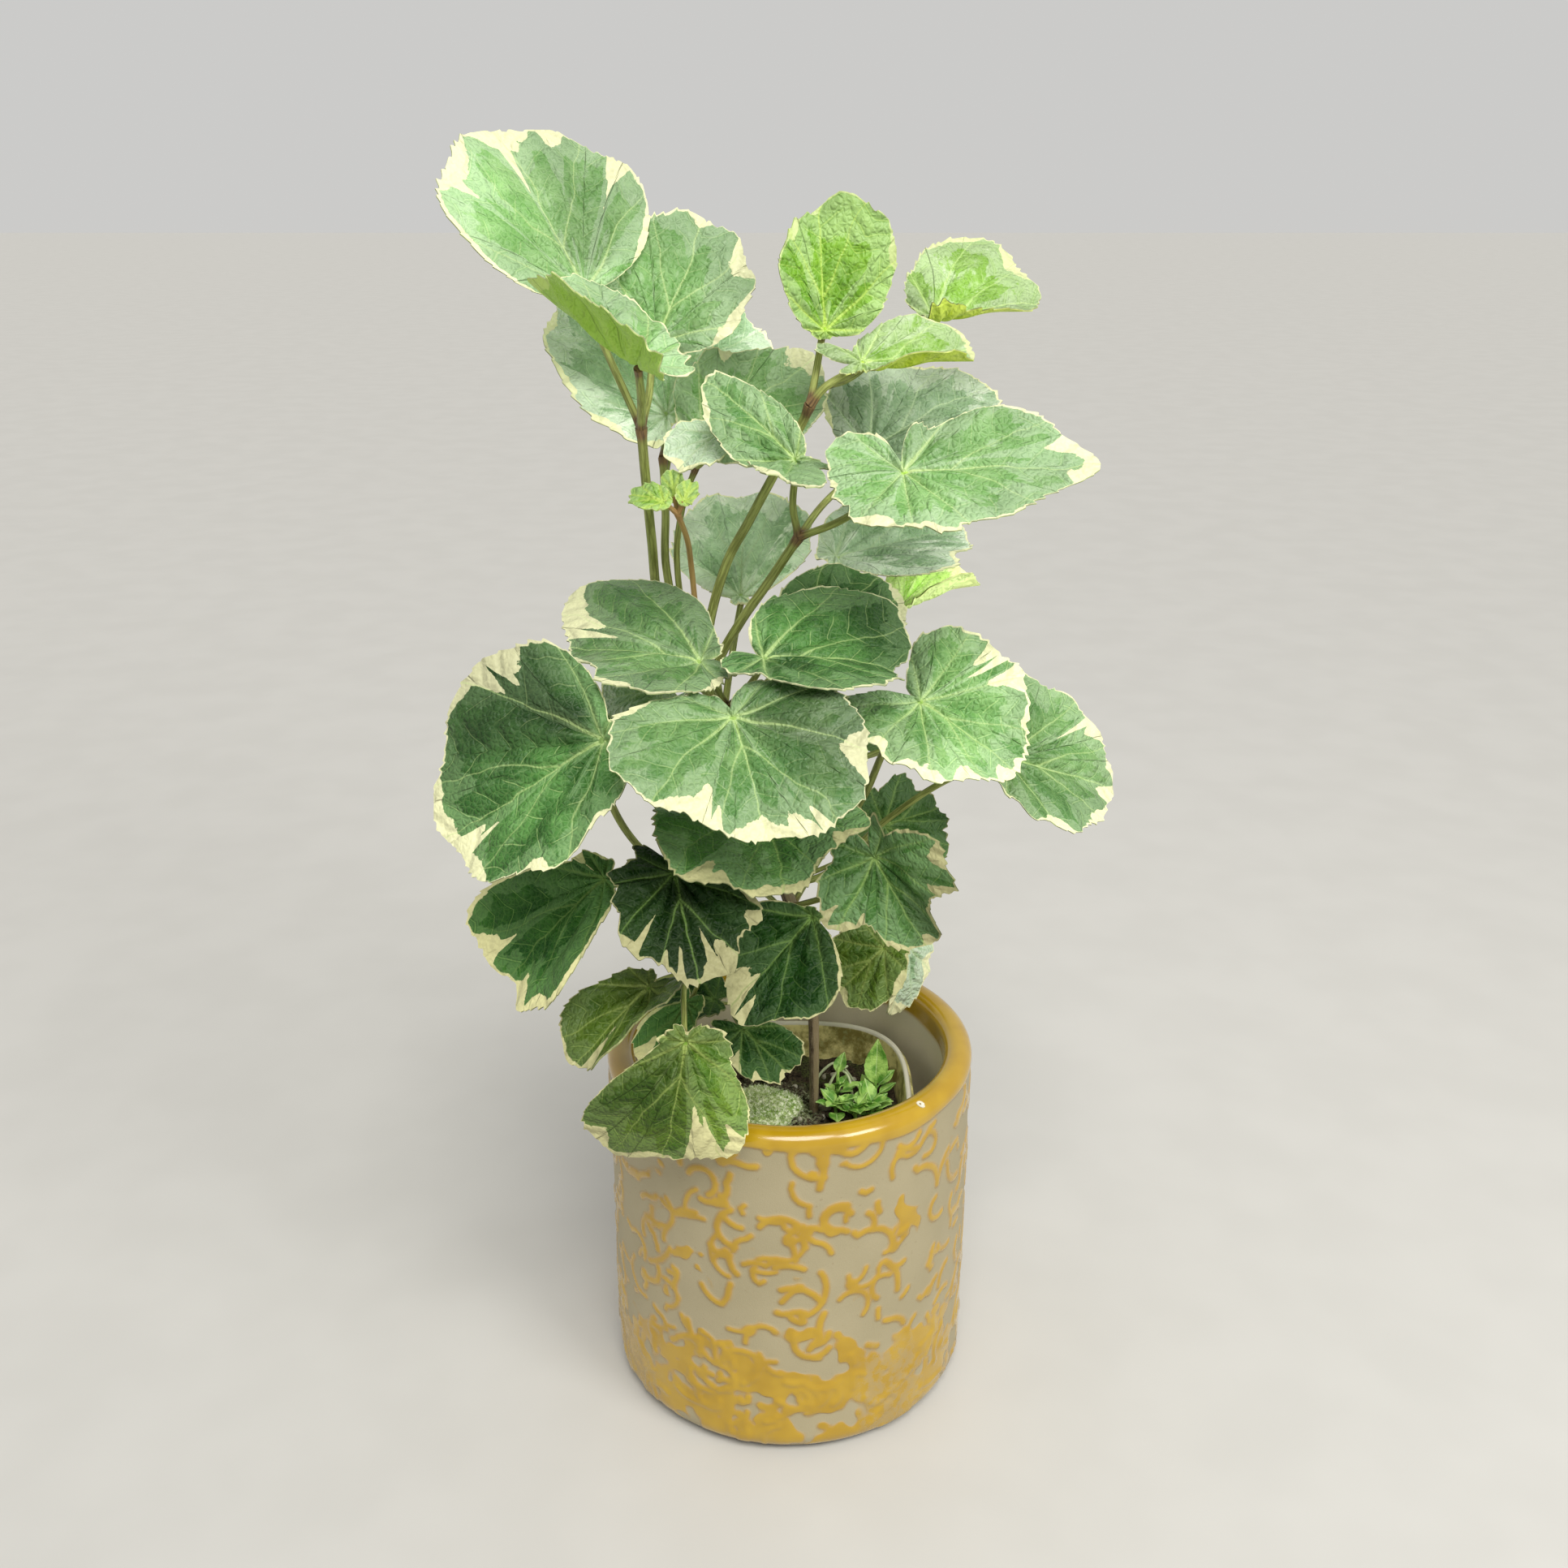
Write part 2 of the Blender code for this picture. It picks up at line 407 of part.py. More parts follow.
def blade_shell(leaf, seed, margin_points, inner_points):
    """A leaf blade with a toothed margin: a centre, an inner ring and the margin."""
    notch = leaf.get("notch_at", 6) * np.pi / 6
    inner = notch + np.arange(inner_points) * 2 * np.pi / inner_points
    outer = notch + np.arange(margin_points) * 2 * np.pi / margin_points
    teeth = np.where(np.arange(margin_points) % 2, -TOOTH, TOOTH)
    points = np.vstack([
        blade_points(leaf, np.zeros(1), np.zeros(1), seed),
        blade_points(leaf, inner, np.full(inner_points, INNER_SHARE), seed),
        blade_points(leaf, outer, np.ones(margin_points), seed, teeth),
    ])
    first = 1 + inner_points
    middle, rim = list(range(1, first)), list(range(first, first + margin_points))
    faces = [face[::-1] for face in ring_faces([0], middle) + ring_faces(middle, rim)]
    return thicken(points, faces, rim[::-1], BLADE_THICKNESS)


def material(name, colour, roughness=.5, metallic=0.0):
    made = bpy.data.materials.get(name) or bpy.data.materials.new(name)
    made.use_nodes = True
    shader = made.node_tree.nodes["Principled BSDF"]
    shader.inputs["Base Color"].default_value = (*colour, 1)
    shader.inputs["Roughness"].default_value = roughness
    shader.inputs["Metallic"].default_value = metallic
    return made


def mesh_object(name, points, faces, finish):
    mesh = bpy.data.meshes.new(name)
    mesh.from_pydata([tuple(p) for p in points], [], faces)
    mesh.materials.append(finish)
    work = bmesh.new()
    work.from_mesh(mesh)
    bmesh.ops.recalc_face_normals(work, faces=work.faces)
    work.to_mesh(mesh)
    work.free()
    mesh.shade_smooth()
    mesh.set_sharp_from_angle(angle=SHARP_ANGLE)
    made = bpy.data.objects.new(name, mesh)
    bpy.context.collection.objects.link(made)
    return made


def curve_through(places, steps):
    """Points on a smooth curve through places, so many to each stretch."""
    places = np.asarray(places, float)
    ends = np.vstack([2 * places[0] - places[1], places, 2 * places[-1] - places[-2]])
    points = []
    for k in range(len(places) - 1):
        a, b, c, d = ends[k:k + 4]
        for f in np.arange(steps) / steps:
            points.append(b + .5 * f * (c - a + f * (2 * a - 5 * b + 4 * c - d + f * (3 * (b - c) + d - a))))
    return np.array(points + [places[-1]])


def tube(name, points, radii, sides, finish):
    """A closed tube along points, with a flat cap at each end."""
    points = np.asarray(points, float)
    radii = np.interp(np.linspace(0, 1, len(points)), np.linspace(0, 1, len(radii)), radii)
    ways = np.gradient(points, axis=0)
    ways /= np.linalg.norm(ways, axis=1)[:, None]
    side = np.cross(ways[0], (0.31, 0.95, 0.05))
    rings = []
    for point, way, radius in zip(points, ways, radii):
        side = side - way * np.dot(side, way)
        side /= np.linalg.norm(side)
        other = np.cross(way, side)
        for k in range(sides):
            turn = 2 * math.pi * k / sides
            rings.append(point + radius * (math.cos(turn) * side + math.sin(turn) * other))
    faces = [tuple(range(sides))[::-1], tuple(range(len(rings) - sides, len(rings)))]
    for start in range(0, len(rings) - sides, sides):
        for k in range(sides):
            a, b = start + k, start + (k + 1) % sides
            faces.append((a, b, b + sides, a + sides))
    return mesh_object(name, rings, faces, finish)


def joint(place, radius, finish):
    """The swelling where petioles part."""
    work = bmesh.new()
    bmesh.ops.create_icosphere(work, subdivisions=1, radius=radius)
    points = [place + np.array(v.co) for v in work.verts]
    faces = [tuple(v.index for v in face.verts) for face in work.faces]
    work.free()
    return mesh_object("joint", points, faces, finish)


def seat(leaf, before, radius):
    """Where a petiole that comes from a point ends, just clear of the underside of its leaf."""
    base, _, _, normal, _ = leaf_frame(leaf)
    way = (base - before) / np.linalg.norm(base - before)
    clear = BLADE_THICKNESS / 2 + 1.4 * GAP + radius * math.sqrt(max(0, 1 - np.dot(way, normal) ** 2))
    return base - normal * clear


def fuse(target, others):
    """One Boolean union of a target with every other object, which are then removed."""
    group = bpy.data.collections.new("fused")
    bpy.context.scene.collection.children.link(group)
    for other in others:
        for home in list(other.users_collection):
            home.objects.unlink(other)
        group.objects.link(other)
    union = target.modifiers.new("union", "BOOLEAN")
    union.operation = "UNION"
    union.operand_type = "COLLECTION"
    union.collection = group
    union.solver = "EXACT"
    apply_modifiers(target)
    for other in others:
        bpy.data.objects.remove(other)
    bpy.data.collections.remove(group)


def cut(target, cutter):
    hole = target.modifiers.new("hole", "BOOLEAN")
    hole.operation = "DIFFERENCE"
    hole.object = cutter
    hole.solver = "EXACT"
    apply_modifiers(target)
    bpy.data.objects.remove(cutter)


def apply_modifiers(target):
    seen = target.evaluated_get(bpy.context.evaluated_depsgraph_get())
    mesh = bpy.data.meshes.new_from_object(seen)
    target.modifiers.clear()
    target.data = mesh


def make_leaves():
    for seed, (name, leaf) in enumerate(LEAVES.items(), 1):
        young = name.startswith("young")
        finish = material("young_leaf" if young else "leaf", (.2, .42, .04) if young else (.1, .22, .09), .38)
        points, faces = blade_shell(leaf, seed, MARGIN_POINTS, INNER_POINTS)
        mesh_object("leaf_" + name, points, faces, finish)


def make_stem():
    """The woody stem with every petiole and the small sprout, grown as one piece."""
    finish = material("petiole", (.2, .19, .05), .5)
    foot = np.array([*STEM_FOOT, SOIL_Z - STEM_DEPTH])
    ground = np.array([*STEM_FOOT, SOIL_Z])
    line = curve_through([foot, ground] + [seen_at(a, d, y * MM) for a, d, y in STEM], 3)
    stem = tube("stem", line, np.array(STEM_RADII) * MM, STEM_SIDES, finish)
    lines, parts, joints = {"stem": line}, [], {tuple(line[-1]): STEM_HEAD}
    for name, petiole in PETIOLES.items():
        places = [seen_at(a, d, y * MM) for a, d, y in petiole.get("path", ())]
        places += [np.array(point) * MM for point in petiole.get("points", ())]
        carrier = lines[petiole.get("on", "stem")]
        places[0] = carrier[np.argmin(np.linalg.norm(carrier - places[0], axis=1))]
        radius = petiole["radius"] * MM
        if name in LEAVES:
            places.append(seat(LEAVES[name], places[-1], radius))
        lines[name] = curve_through(places, 2)
        parts.append(tube(name, lines[name], (radius * 1.12, radius), PETIOLE_SIDES, finish))
        if "on" in petiole:
            joints[tuple(places[0])] = max(radius * JOINT_SWELL, joints.get(tuple(places[0]), 0))
        if name in SPROUT:
            joints[tuple(places[-1])] = radius * JOINT_SWELL
    parts += [joint(np.array(place), radius, finish) for place, radius in joints.items()]
    for seed, (name, leaf) in enumerate(SPROUT.items(), 90):
        points, faces = blade_shell(leaf, seed, BUD_MARGIN_POINTS, BUD_INNER_POINTS)
        parts.append(mesh_object("blade_of_" + name, points, faces, finish))
    fuse(stem, parts)


def turned(name, profile, sides, finish):
    """A solid of revolution about Z from (radius, height) points, the first and last on the axis."""
    points, faces, rings = [], [], []
    for radius, height in profile:
        if radius == 0:
            rings.append([len(points)])
            points.append((0, 0, height))
            continue
        rings.append(list(range(len(points), len(points) + sides)))
        for k in range(sides):
            turn = 2 * math.pi * k / sides
            points.append((radius * math.cos(turn), radius * math.sin(turn), height))
    for low, high in zip(rings, rings[1:]):
        for k in range(sides):
            a, b = low[k % len(low)], low[(k + 1) % len(low)]
            c, d = high[(k + 1) % len(high)], high[k % len(high)]
            faces.append(tuple(dict.fromkeys((a, b, c, d))))
    return mesh_object(name, points, faces, finish)


def make_pot():
    """The ceramic pot: a straight wall with a rolled rim, a rounded foot and a flat underside."""
    inside = POT_RADIUS - POT_WALL
    profile = [(0, 0), (POT_RADIUS - POT_FOOT_ROUND, 0)]
    for k in range(1, 4):
        turn = math.pi / 2 * k / 3
        profile.append((POT_RADIUS - POT_FOOT_ROUND * (1 - math.sin(turn)),
                        POT_FOOT_ROUND * (1 - math.cos(turn))))
    profile.append((POT_RADIUS, POT_HEIGHT - POT_WALL / 2))
    for k in range(1, 6):
        turn = math.pi * k / 6
        profile.append((POT_RADIUS - POT_WALL / 2 * (1 - math.cos(turn)),
                        POT_HEIGHT - POT_WALL / 2 * (1 - math.sin(turn))))
    profile += [(inside, POT_HEIGHT - POT_WALL / 2), (inside, POT_FLOOR + 4 * MM), (inside - 4 * MM, POT_FLOOR),
                (0, POT_FLOOR)]
    turned("pot", profile, POT_SIDES, material("glazed_ceramic", (.45, .38, .28), .4))


def square_ring(half, height):
    """A ring of points round a square with round corners."""
    points = []
    for k in range(LINER_SIDES):
        turn = 2 * math.pi * (k + .5) / LINER_SIDES
        c, s = math.cos(turn), math.sin(turn)
        size = half * (abs(c) ** LINER_SQUARENESS + abs(s) ** LINER_SQUARENESS) ** (-1 / LINER_SQUARENESS)
        points.append((size * c, size * s, height))
    return points


def lofted(name, rings, finish):
    """A closed solid through rings of equal length, with a flat cap at each end."""
    sides = len(rings[0])
    points = [p for ring in rings for p in ring]
    faces = []
    for start in range(0, len(points) - sides, sides):
        for k in range(sides):
            a, b = start + k, start + (k + 1) % sides
            faces.append((a, b, b + sides, a + sides))
    faces += [tuple(range(sides))[::-1], tuple(range(len(points) - sides, len(points)))]
    return mesh_object(name, points, faces, finish)


def make_liner():
    """The nursery pot, open at its top, with a rim that stands out a little."""
    rings = [
        square_ring(LINER_FOOT_HALF, LINER_FOOT_Z),
        square_ring(LINER_TOP_HALF - LINER_RIM_OUT, LINER_TOP_Z - LINER_RIM_DEPTH - LINER_RIM_OUT),
        square_ring(LINER_TOP_HALF, LINER_TOP_Z - LINER_RIM_DEPTH),
        square_ring(LINER_TOP_HALF, LINER_TOP_Z),
        square_ring(liner_inside(LINER_TOP_Z), LINER_TOP_Z),
        square_ring(liner_inside(LINER_FOOT_Z + LINER_FLOOR), LINER_FOOT_Z + LINER_FLOOR),
    ]
    lofted("nursery_pot", rings, material("olive_plastic", (.12, .12, .05), .45))


def liner_inside(height):
    """Half the width inside the nursery pot at a height."""
    share = (height - LINER_FOOT_Z) / (LINER_TOP_Z - LINER_FOOT_Z)
    return LINER_FOOT_HALF + (LINER_TOP_HALF - LINER_RIM_OUT - LINER_FOOT_HALF) * share - LINER_WALL


def soil_height(x, y):
    """The soil's top, a little lower and higher from place to place."""
    return SOIL_Z + SOIL_BUMP * (math.sin(x / SOIL_LUMP) * math.cos(y / SOIL_LUMP) - .6)


def make_soil():
    """Soil that fills the nursery pot, with a low uneven top and a plain hole for each stem."""
    low_z = LINER_FOOT_Z + LINER_FLOOR + GAP
    points, rings = [], []
    for height, shares in ((low_z, (0, 1)), (SOIL_Z, (1, .86, .33, 0))):
        half = liner_inside(height) - 1.5 * GAP
        for share in shares:
            ring = square_ring(half, height) if share else [(0, 0, height)]
            start = len(points)
            for x, y, z in ring:
                x, y = x * (share or 1), y * (share or 1)
                points.append((x, y, z if z == low_z else soil_height(x, y)))
            rings.append(list(range(start, len(points))))
    faces = []
    for low, high in zip(rings, rings[1:]):
        for k in range(LINER_SIDES):
            a, b = low[k % len(low)], low[(k + 1) % len(low)]
            c, d = high[(k + 1) % len(high)], high[k % len(high)]
            faces.append(tuple(dict.fromkeys((a, b, c, d))))
    finish = material("soil", (.03, .025, .012), .95)
    soil = mesh_object("soil", points, faces, finish)
    stem_line = [(*STEM_FOOT, SOIL_Z - STEM_DEPTH - GAP), (*STEM_FOOT, SOIL_Z + OVER_SOIL)]
    cut(soil, tube("stem_hole", stem_line, (STEM_HOLE,), 12, finish))
    for weed in WEEDS:
        x, y = weed["foot"][0] * MM, weed["foot"][1] * MM
        line = [(x, y, SOIL_Z - WEED_DEPTH - GAP), (x, y, SOIL_Z + OVER_SOIL)]
        cut(soil, tube("weed_hole", line, (WEED_HOLE,), 8, finish))


def make_weeds():
    """Each weed is one piece: a stalk in its hole with one leaf at its top."""
    finish = material("weed", (.1, .3, .05), .45)
    for number, weed in enumerate(WEEDS, 1):
        x, y = weed["foot"][0] * MM, weed["foot"][1] * MM
        ahead = facing(weed["heading"] + 90, weed["rise"])
        top = np.array([x, y, SOIL_Z + weed["height"] * MM])
        low, ground = (x, y, SOIL_Z - WEED_DEPTH), (x, y, SOIL_Z + 2 * MM)
        line = curve_through([low, ground, top, top + ahead * 3 * MM], 2)
        stalk = tube(f"weed_{number}", line, WEED_STALK, 6, finish)
        side = np.cross(ahead, (0, 0, 1))
        side /= np.linalg.norm(side)
        up = np.cross(side, ahead)
        half, length = weed["width"] * MM / 2, weed["length"] * MM
        rim = []
        for turn in 2 * np.pi * np.arange(WEED_POINTS) / WEED_POINTS:
            share = (1 - math.cos(turn)) / 2
            width = half * math.sin(turn) * (1.15 - .45 * share)
            rim.append(top + ahead * share * length + side * width + up * abs(width) * .35)
        points = np.array([top + ahead * length * .45] + rim)
        ring = list(range(1, WEED_POINTS + 1))
        points, faces = thicken(points, ring_faces([0], ring), ring, BLADE_THICKNESS)
        fuse(stalk, [mesh_object("weed_blade", points, faces, finish)])


def make_moss():
    """A low cushion of moss at the front left of the soil."""
    points, rings = [], []
    for level, share in ((0, 1.0), (.45, .95), (.8, .62), (1, 0)):
        start = len(points)
        for k in range(MOSS_SIDES if share else 1):
            turn = 2 * math.pi * k / MOSS_SIDES
            lump = share * (1 + .08 * math.sin(3 * turn + 1) + .05 * math.sin(5 * turn))
            x = MOSS_CENTRE[0] + MOSS_SIZE[0] * lump * math.cos(turn)
            y = MOSS_CENTRE[1] + MOSS_SIZE[1] * lump * math.sin(turn)
            points.append((x, y, soil_height(x, y) + 2 * GAP + level * MOSS_SIZE[2]))
        rings.append(list(range(start, len(points))))
    faces = [tuple(rings[0])[::-1]]
    for low, high in zip(rings, rings[1:]):
        for k in range(MOSS_SIDES):
            a, b = low[k], low[(k + 1) % MOSS_SIDES]
            c, d = high[(k + 1) % len(high)], high[k % len(high)]
            faces.append(tuple(dict.fromkeys((a, b, c, d))))
    mesh_object("moss", points, faces, material("moss", (.16, .2, .1), .95))


def main():
    for thing in list(bpy.data.objects):
        bpy.data.objects.remove(thing)
    make_pot()
    make_liner()
    make_soil()
    make_moss()
    make_weeds()
    make_stem()
    make_leaves()


main()
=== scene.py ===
"""The looks of the potted dinner plate aralia: leaves, stalks, pots, soil, moss and weeds."""
import math

import bpy
import numpy as np
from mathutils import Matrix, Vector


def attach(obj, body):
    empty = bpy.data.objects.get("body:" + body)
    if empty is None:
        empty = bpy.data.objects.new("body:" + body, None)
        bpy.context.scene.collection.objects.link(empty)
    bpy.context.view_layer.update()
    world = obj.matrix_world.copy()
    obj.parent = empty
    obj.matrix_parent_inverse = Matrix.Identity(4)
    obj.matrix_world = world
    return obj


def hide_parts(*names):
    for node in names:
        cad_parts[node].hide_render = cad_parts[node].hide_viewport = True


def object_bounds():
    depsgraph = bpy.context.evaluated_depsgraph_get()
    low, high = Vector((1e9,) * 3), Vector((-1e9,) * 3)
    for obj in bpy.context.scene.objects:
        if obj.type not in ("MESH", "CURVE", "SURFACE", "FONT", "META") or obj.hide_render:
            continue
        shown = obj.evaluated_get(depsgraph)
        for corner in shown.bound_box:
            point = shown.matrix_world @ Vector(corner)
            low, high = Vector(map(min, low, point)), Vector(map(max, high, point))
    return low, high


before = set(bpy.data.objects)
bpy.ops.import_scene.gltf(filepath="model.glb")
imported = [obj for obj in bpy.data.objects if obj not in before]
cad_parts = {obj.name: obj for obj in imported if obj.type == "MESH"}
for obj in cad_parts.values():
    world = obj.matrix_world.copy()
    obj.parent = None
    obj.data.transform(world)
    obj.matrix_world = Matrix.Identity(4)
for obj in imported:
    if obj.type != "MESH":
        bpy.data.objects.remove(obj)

MM = 0.001
GAP = 0.3 * MM  # between neighbouring solids
BODY = "root"
cad_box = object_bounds()

# Where random numbers start
POT_SEED, SOIL_SEED, MOSS_SEED, WEED_SEED = 7, 11, 21, 31
# A leaf's start at its place in LEAVES, the sprout's blades at 90, and each feature adds its own number
FIRST_SPROUT = 90
SIDE_VEINS, TEETH, SCALLOPS, WAVELETS, CREAM = 300, 500, 700, 800, 900

# Ceramic pot
POT_RADIUS = 65 * MM
POT_HEIGHT = 132 * MM
POT_WALL = 9.5 * MM
POT_FLOOR = 9 * MM
POT_FOOT_ROUND = 8 * MM
CENTRE = 0.1 * MM  # radius of the innermost ring of points
POT_COLUMNS = 460
POT_ROW = 0.8 * MM
BAND_Z = 125.6  # mm, lower edge of the rim's yellow outside
LINING_Z = 121.5  # mm, and inside
STROKE_HALF = (1, 1.41)  # mm, half the width of a raised stroke
STROKE_CELL = (12.4, 10.2)  # mm round and up, the room of one figure
STROKE_LENGTHS = (4, 10, 15, 21)  # mm
STROKE_ODDS = (.15, .25, .3, .3)  # how often each length comes
STROKE_STEP = 2  # mm
STROKE_BENDS, STROKE_KINKS = (.12, .45), (.9, 1.6)  # radians: at every step, and once
SWERVE_ODDS, KINK_ODDS, BRANCH_ODDS, BLOB_ODDS = .4, .45, .5, .4
GAP_ODDS = (.25, .08)  # how often a figure is left out, half way up and elsewhere
STROKE_AWAY = 22  # mm, further from its middle than any stroke goes
STROKE_BLEND = .28  # mm, how softly close strokes flow together
PATCH_TOP, PATCH_FADE = 57, 28  # mm: glaze in patches starts below the first and is full so far below it
PATCH_SIZES = (22, 60, 7)  # mm
RELIEF, PATCH_RELIEF = .5, .2  # mm
NOISE_ROWS = 140  # one to a mm, a little more than the pot is high
CHIP_TURN = math.radians(-46)  # where the rim is chipped
FOOT_STEPS, RIM_STEPS = 10, 20  # round the foot's edge and over the rim

# Nursery pot
LINER_TOP_HALF = 45 * MM
LINER_FOOT_HALF = 33 * MM
LINER_TOP_Z = 112 * MM
LINER_WALL = 1.6 * MM
LINER_RIM_OUT = 1.2 * MM
LINER_FLOOR = 2 * MM
# The rim from below: mm in from its widest and down from its top
LINER_LIP = ((1.2, 5.2), (.2, 4), (0, 3.6), (0, 1.9), (.4, 1.4), (.9, 1.1), (1.1, .5), (1.4, 0))
LINER_ROWS = 59
LINER_SQUARENESS = 3.0
LINER_SIDES = 160
LINER_FOOT_Z = POT_FLOOR + GAP

SOIL_Z = 98 * MM
SOIL_BUMP = 0.8 * MM
SOIL_LUMP = 8 * MM
STEM_DEPTH = 26 * MM
SOIL_RINGS = 46
CRUMBS = 900
CRUMB_SIZES = (.4, 1.5)
CRUMB_SPREAD, SOIL_REACH = 37 * MM, 39 * MM
PALE_SHARE = .06  # of the crumbs
MOSS_ROWS, MOSS_COLUMNS = 26, 72
TUFTS = 5200
TUFT_HEIGHTS, TUFT_HALF_WIDTHS = (.7, 1.6), (.12, .22)  # mm
GOLDEN_TURN = 137.5  # degrees from one small leaf to the next
WEED_LEAVES = (5, 9, 12, 11, 6)  # small leaves round the foot of each weed
SMALL_FEET, SMALL_LENGTHS = (2.2, 6.5), (4.5, 8.5)  # mm: how high they start and how long they are
SMALL_RISES, SMALL_WIDTHS = (8, 50), (.6, .75)  # degrees, and shares of the length
SMALL_STALK = .3 * MM
# Pale stalks that arch over the soil beside the third weed, and a pebble: mm
ARCHES = (((8, 16, 98), (13, 19, 105), (19, 20, 107), (27, 14, 99)),
          ((13, 10, 98), (17, 14, 106), (22, 17, 108)), ((24, 8, 98), (22, 13, 106), (17, 18, 107)))
PEBBLE = (13.2, 3.4, 98.6)
PEBBLE_RADIUS = 2.4 * MM
MOSS_CENTRE = (-10 * MM, 1 * MM)
MOSS_SIZE = (13.5 * MM, 13 * MM, 7 * MM)

# Plant
BLADE_THICKNESS = 0.8 * MM  # of the solids: the stalks end just clear of it
SHEET = 0.5 * MM  # thickness of a blade here
LEAST_REACH = 0.07  # share of the length from the petiole to the deepest notch
WAVE = 0.025  # height of the blade's broad waves, as a share of the distance from the petiole
JOINT_REACH = 2.6 * MM  # how far a petiole's swollen ends go
JOINT_SWELL, BLADE_SWELL = .3, .12  # at other stalks and under a blade, as shares of the radius
STALK_TAPER = .12
STEM_SIDES, STALK_SIDES = 20, 12
STEM_STEPS, STALK_STEPS = 9, 10  # points to a stretch
SOLID_STEPS = (3, 2)  # of the stem's points, and to a stretch of a petiole, in the solids
NODE_SPACING, NODE_WIDTH, NODE_SWELL = 9.5, .7, .07  # mm, mm and share of the radius: the stem's rings
MARGIN_STEP = 0.6 * MM
TOOTH_SPACING = 4.2 * MM
TOOTH_HEIGHT = 1.3 * MM
SCALLOP = 0.06  # height of the margin's scallops, as a share of the distance from the petiole
PILLOW = 1.5 * MM  # how far the blade rises between its main veins,
FULL_PILLOW = 45  # on leaves of this length in mm and up
FLUTTER = 0.6 * MM  # height of the margin's small waves
APART = 37.0  # mm between the places in the noise that two leaves take their looks from
INNER_SHARES = (.06, .13, .2, .28, .36, .44, .52, .6, .68)  # rings of points with every second line
OUTER_SHARES = (.75, .82, .88, .93, .965, 1)  # rings with every line
VALLEYS = (0, 27, 54, 93, 134)  # degrees either side of the tip, where the blade is lowest
# Main veins either side: where each starts along the middle, its degrees from it, its bend to the tip and
# its weight
VEINS = ((0, 0, 0, 1), (.25, 32, .1, .7), (0, 54, .08, .75), (0, 93, .1, .55), (0, 134, .08, .3))
VEIN_BEND = 0.16
SIDE_SPACING = (3.2, .15)  # between side veins: the least in mm, and a share of the length
NOTCH_WIDTH = math.radians(20)
LOBES_END = math.radians(150)  # the lobes fade out before the notch
FOLD_WIDTH, CREASE_WIDTH = .35, .2  # shares of the length that they bend over
TOOTH_WIDTHS = (.45, 1.7)  # the smallest and the widest, next to each other
TOOTH_PEAK = .8  # how far towards the tip a tooth is tallest, as a share of its width
TOOTH_FULL = 8 * MM  # distance from the petiole from which teeth have their full height
MARGIN_SAMPLES = 2881

# The eye that the plant is laid out from: a picture 1932 units wide, seen from in front and above
VIEW_WIDTH = 1932.0
VIEW_FOCAL = 1932.0
VIEW_PITCH = math.radians(21.3)
VIEW_EYE = np.array([-2.0, -494.0, 421.0]) * MM
VIEW_FORWARD = np.array([0.0, math.cos(VIEW_PITCH), -math.sin(VIEW_PITCH)])
VIEW_UP = np.array([0.0, math.sin(VIEW_PITCH), math.cos(VIEW_PITCH)])
VIEW_RIGHT = np.array([1.0, 0.0, 0.0])
LENS = 36  # mm, as wide as the film

# Lights: where each comes from, how strong it is and its colour
SUN = dict(place=(.12, -.85, 1.3), power=1.9, colour=(1, .985, .95), angle=math.radians(30))
FILL = dict(place=(.5, -.5, .7), target=(.01, 0, .1), power=3.2, colour=(1, .99, .96), size=.3)
SKY_COLOUR, SKY_STRENGTH = (1, .995, .975, 1), .6
FLOOR_HALF = 12.0

HOUR = math.pi / 6
# How far a blade reaches from its petiole, as shares of its length, at the twelve hours of a clock whose
# noon is the tip, read from above
ROUND = (1, .93, .72, .5, .36, .3, .28, .3, .36, .5, .72, .93)
BUD = (1, .8, .5, .35, .25, .22, .2, .22, .25, .35, .5, .8)


def blade(base, tip, y, length, face, margin=ROUND, fold=(12, 12), droop=20, **more):
    """One leaf as the tables below list it."""
    return dict(base=base, tip=tip, y=y, length=length, face=face, margin=margin, fold=fold, droop=droop,
                **more)


def hidden(at, heading, length, face, **more):
    """A leaf behind the rest: where its petiole joins it, in mm, and the (degrees right, up) of its tip."""
    return dict(blade(None, None, None, length, face, **more), at=at, heading=heading)


def stalk(radius, *spots, on="stem", in_mm=False):
    """A petiole of a radius in mm, through places in the picture, or in mm."""
    return dict(radius=radius, spots=spots, on=on, in_mm=in_mm)


